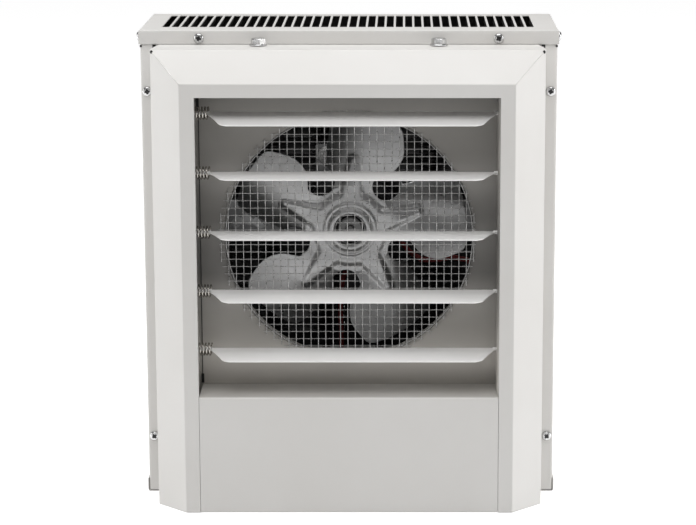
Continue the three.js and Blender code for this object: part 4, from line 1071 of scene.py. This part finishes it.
def hex_bolt():
    """Hex head with chamfered corners on its washer, threaded shank below; up is +Z."""
    corner = BOLT_ACROSS_FLATS / 2 / math.cos(math.pi / 6)
    turns = [k * math.pi / 3 for k in range(6)]
    hexagon = [(corner * math.cos(turn), corner * math.sin(turn)) for turn in turns]
    chamfer = [(0.01, 1.3), (7.2, 1.3), (7.2, 5.1), (5.2, 6.5), (0.01, 6.5)]
    crown = combined(prism(hexagon, 1.4, 6.4), lathe(chamfer, 48, closed=False), "INTERSECT")
    washer = lathe([
        (0.01, 0.3), (7.3, 0.3), (7.75, 0.8), (7.75, 1.2), (7.3, 1.55), (5.6, 1.9), (0.01, 1.9),
    ], 48, closed=False)
    thread = [(2.9 + 0.3 * (k % 2), 0.2 - 0.5 * k) for k in range(28)]
    shank = lathe([(0.01, 0.2)] + thread + [(0.01, -14)], 24, closed=False)
    vertices, faces = merged(crown, washer, shank)
    return [(x, -z, y) for x, y, z in vertices], faces


def screw_places(side, word):
    """Where the pan screws of one side go, by the CAD node that each of them replaces."""
    cap, edge = middle_of(f"cap_screw_{word}"), middle_of(f"side_screw_{word}")
    places = {
        f"cap_screw_{word}": at(cap.x, CAP_FRONT, cap.z, (SCREW_TURNS[word], "Y")),
        f"side_screw_{word}": at(
            CAP_SIDE * side, edge.y, edge.z, (90 * side, "Z"), (SIDE_SCREW_TURN * side, "Y"),
        ),
    }
    for level in ("upper", "lower"):
        name = f"flange_screw_{level}_{word}"
        spot = middle_of(name)
        places[name] = at(spot.x, CASE_FRONT, spot.z, (SCREW_TURNS[level] * side, "Y"))
    return places


def build_fasteners():
    """The pan screws with dark crosses of painted shade in their recesses, and the two hex bolts on
    the frame's top flange.
    """
    screw, bolt = pan_screw(), hex_bolt()
    # A dark cross sits in each screw's recess as painted shade.
    shade = prism(CROSS, -1.75, -1.3, 0.8)
    recesses = []
    for side, word in ((-1, "left"), (1, "right")):
        for node, place in screw_places(side, word).items():
            piece(f"pan_{node}", *screw, "zinc_hardware", replaces=[node], crease=40, place=place)
            recesses.append(moved(shade, place))
    dark = MATERIALS["black_moulding"]
    piece("screw_recess_shade", *merged(*recesses), "zinc_hardware", material=dark, crease=30)
    for word, turn in BOLT_TURNS.items():
        node = f"frame_bolt_{word}"
        spot = middle_of(node)
        place = at(spot.x, spot.y, FRAME_TOP, (turn, "Z"))
        piece(f"hex_bolt_{word}", *bolt, "zinc_hardware", replaces=[node], crease=30, place=place)


build_fan()
build_hub()
build_guard()
for i in range(LOUVER_COUNT):
    build_louver(i)
build_orifice_bead()
build_intake_hems()
build_mitre_seams()
build_corner_details()
build_motor()
for i, middle in enumerate(ELEMENT_MIDDLES, 1):
    build_element(i, middle)
build_fasteners()

# ------------------------------------------------------------------ floor

FLOOR_REACH = 6
PAPER_TONE, PAPER_GLOW = 0.8, 0.8

corners = [(x * FLOOR_REACH, y * FLOOR_REACH, 0) for x, y in ((-1, -1), (1, -1), (1, 1), (-1, 1))]
floor_mesh = bpy.data.meshes.new("floor")
floor_mesh.from_pydata(corners, [], [(0, 1, 2, 3)])
floor = linked("floor", floor_mesh)
floor.location.z = -0.3 * MM
paper = Surface("paper", 0.8)
paper.shader.inputs["Base Color"].default_value = (PAPER_TONE, PAPER_TONE, PAPER_TONE, 1)
paper.shader.inputs["Emission Color"].default_value = (1, 1, 1, 1)
rays = paper.add("LightPath").outputs
seen = paper.math("MAXIMUM", rays["Is Camera Ray"], rays["Is Glossy Ray"])
seen = paper.math("MAXIMUM", seen, rays["Is Transmission Ray"])
paper.link(paper.math("MULTIPLY", seen, PAPER_GLOW), "Emission Strength")
floor.data.materials.append(paper.done())
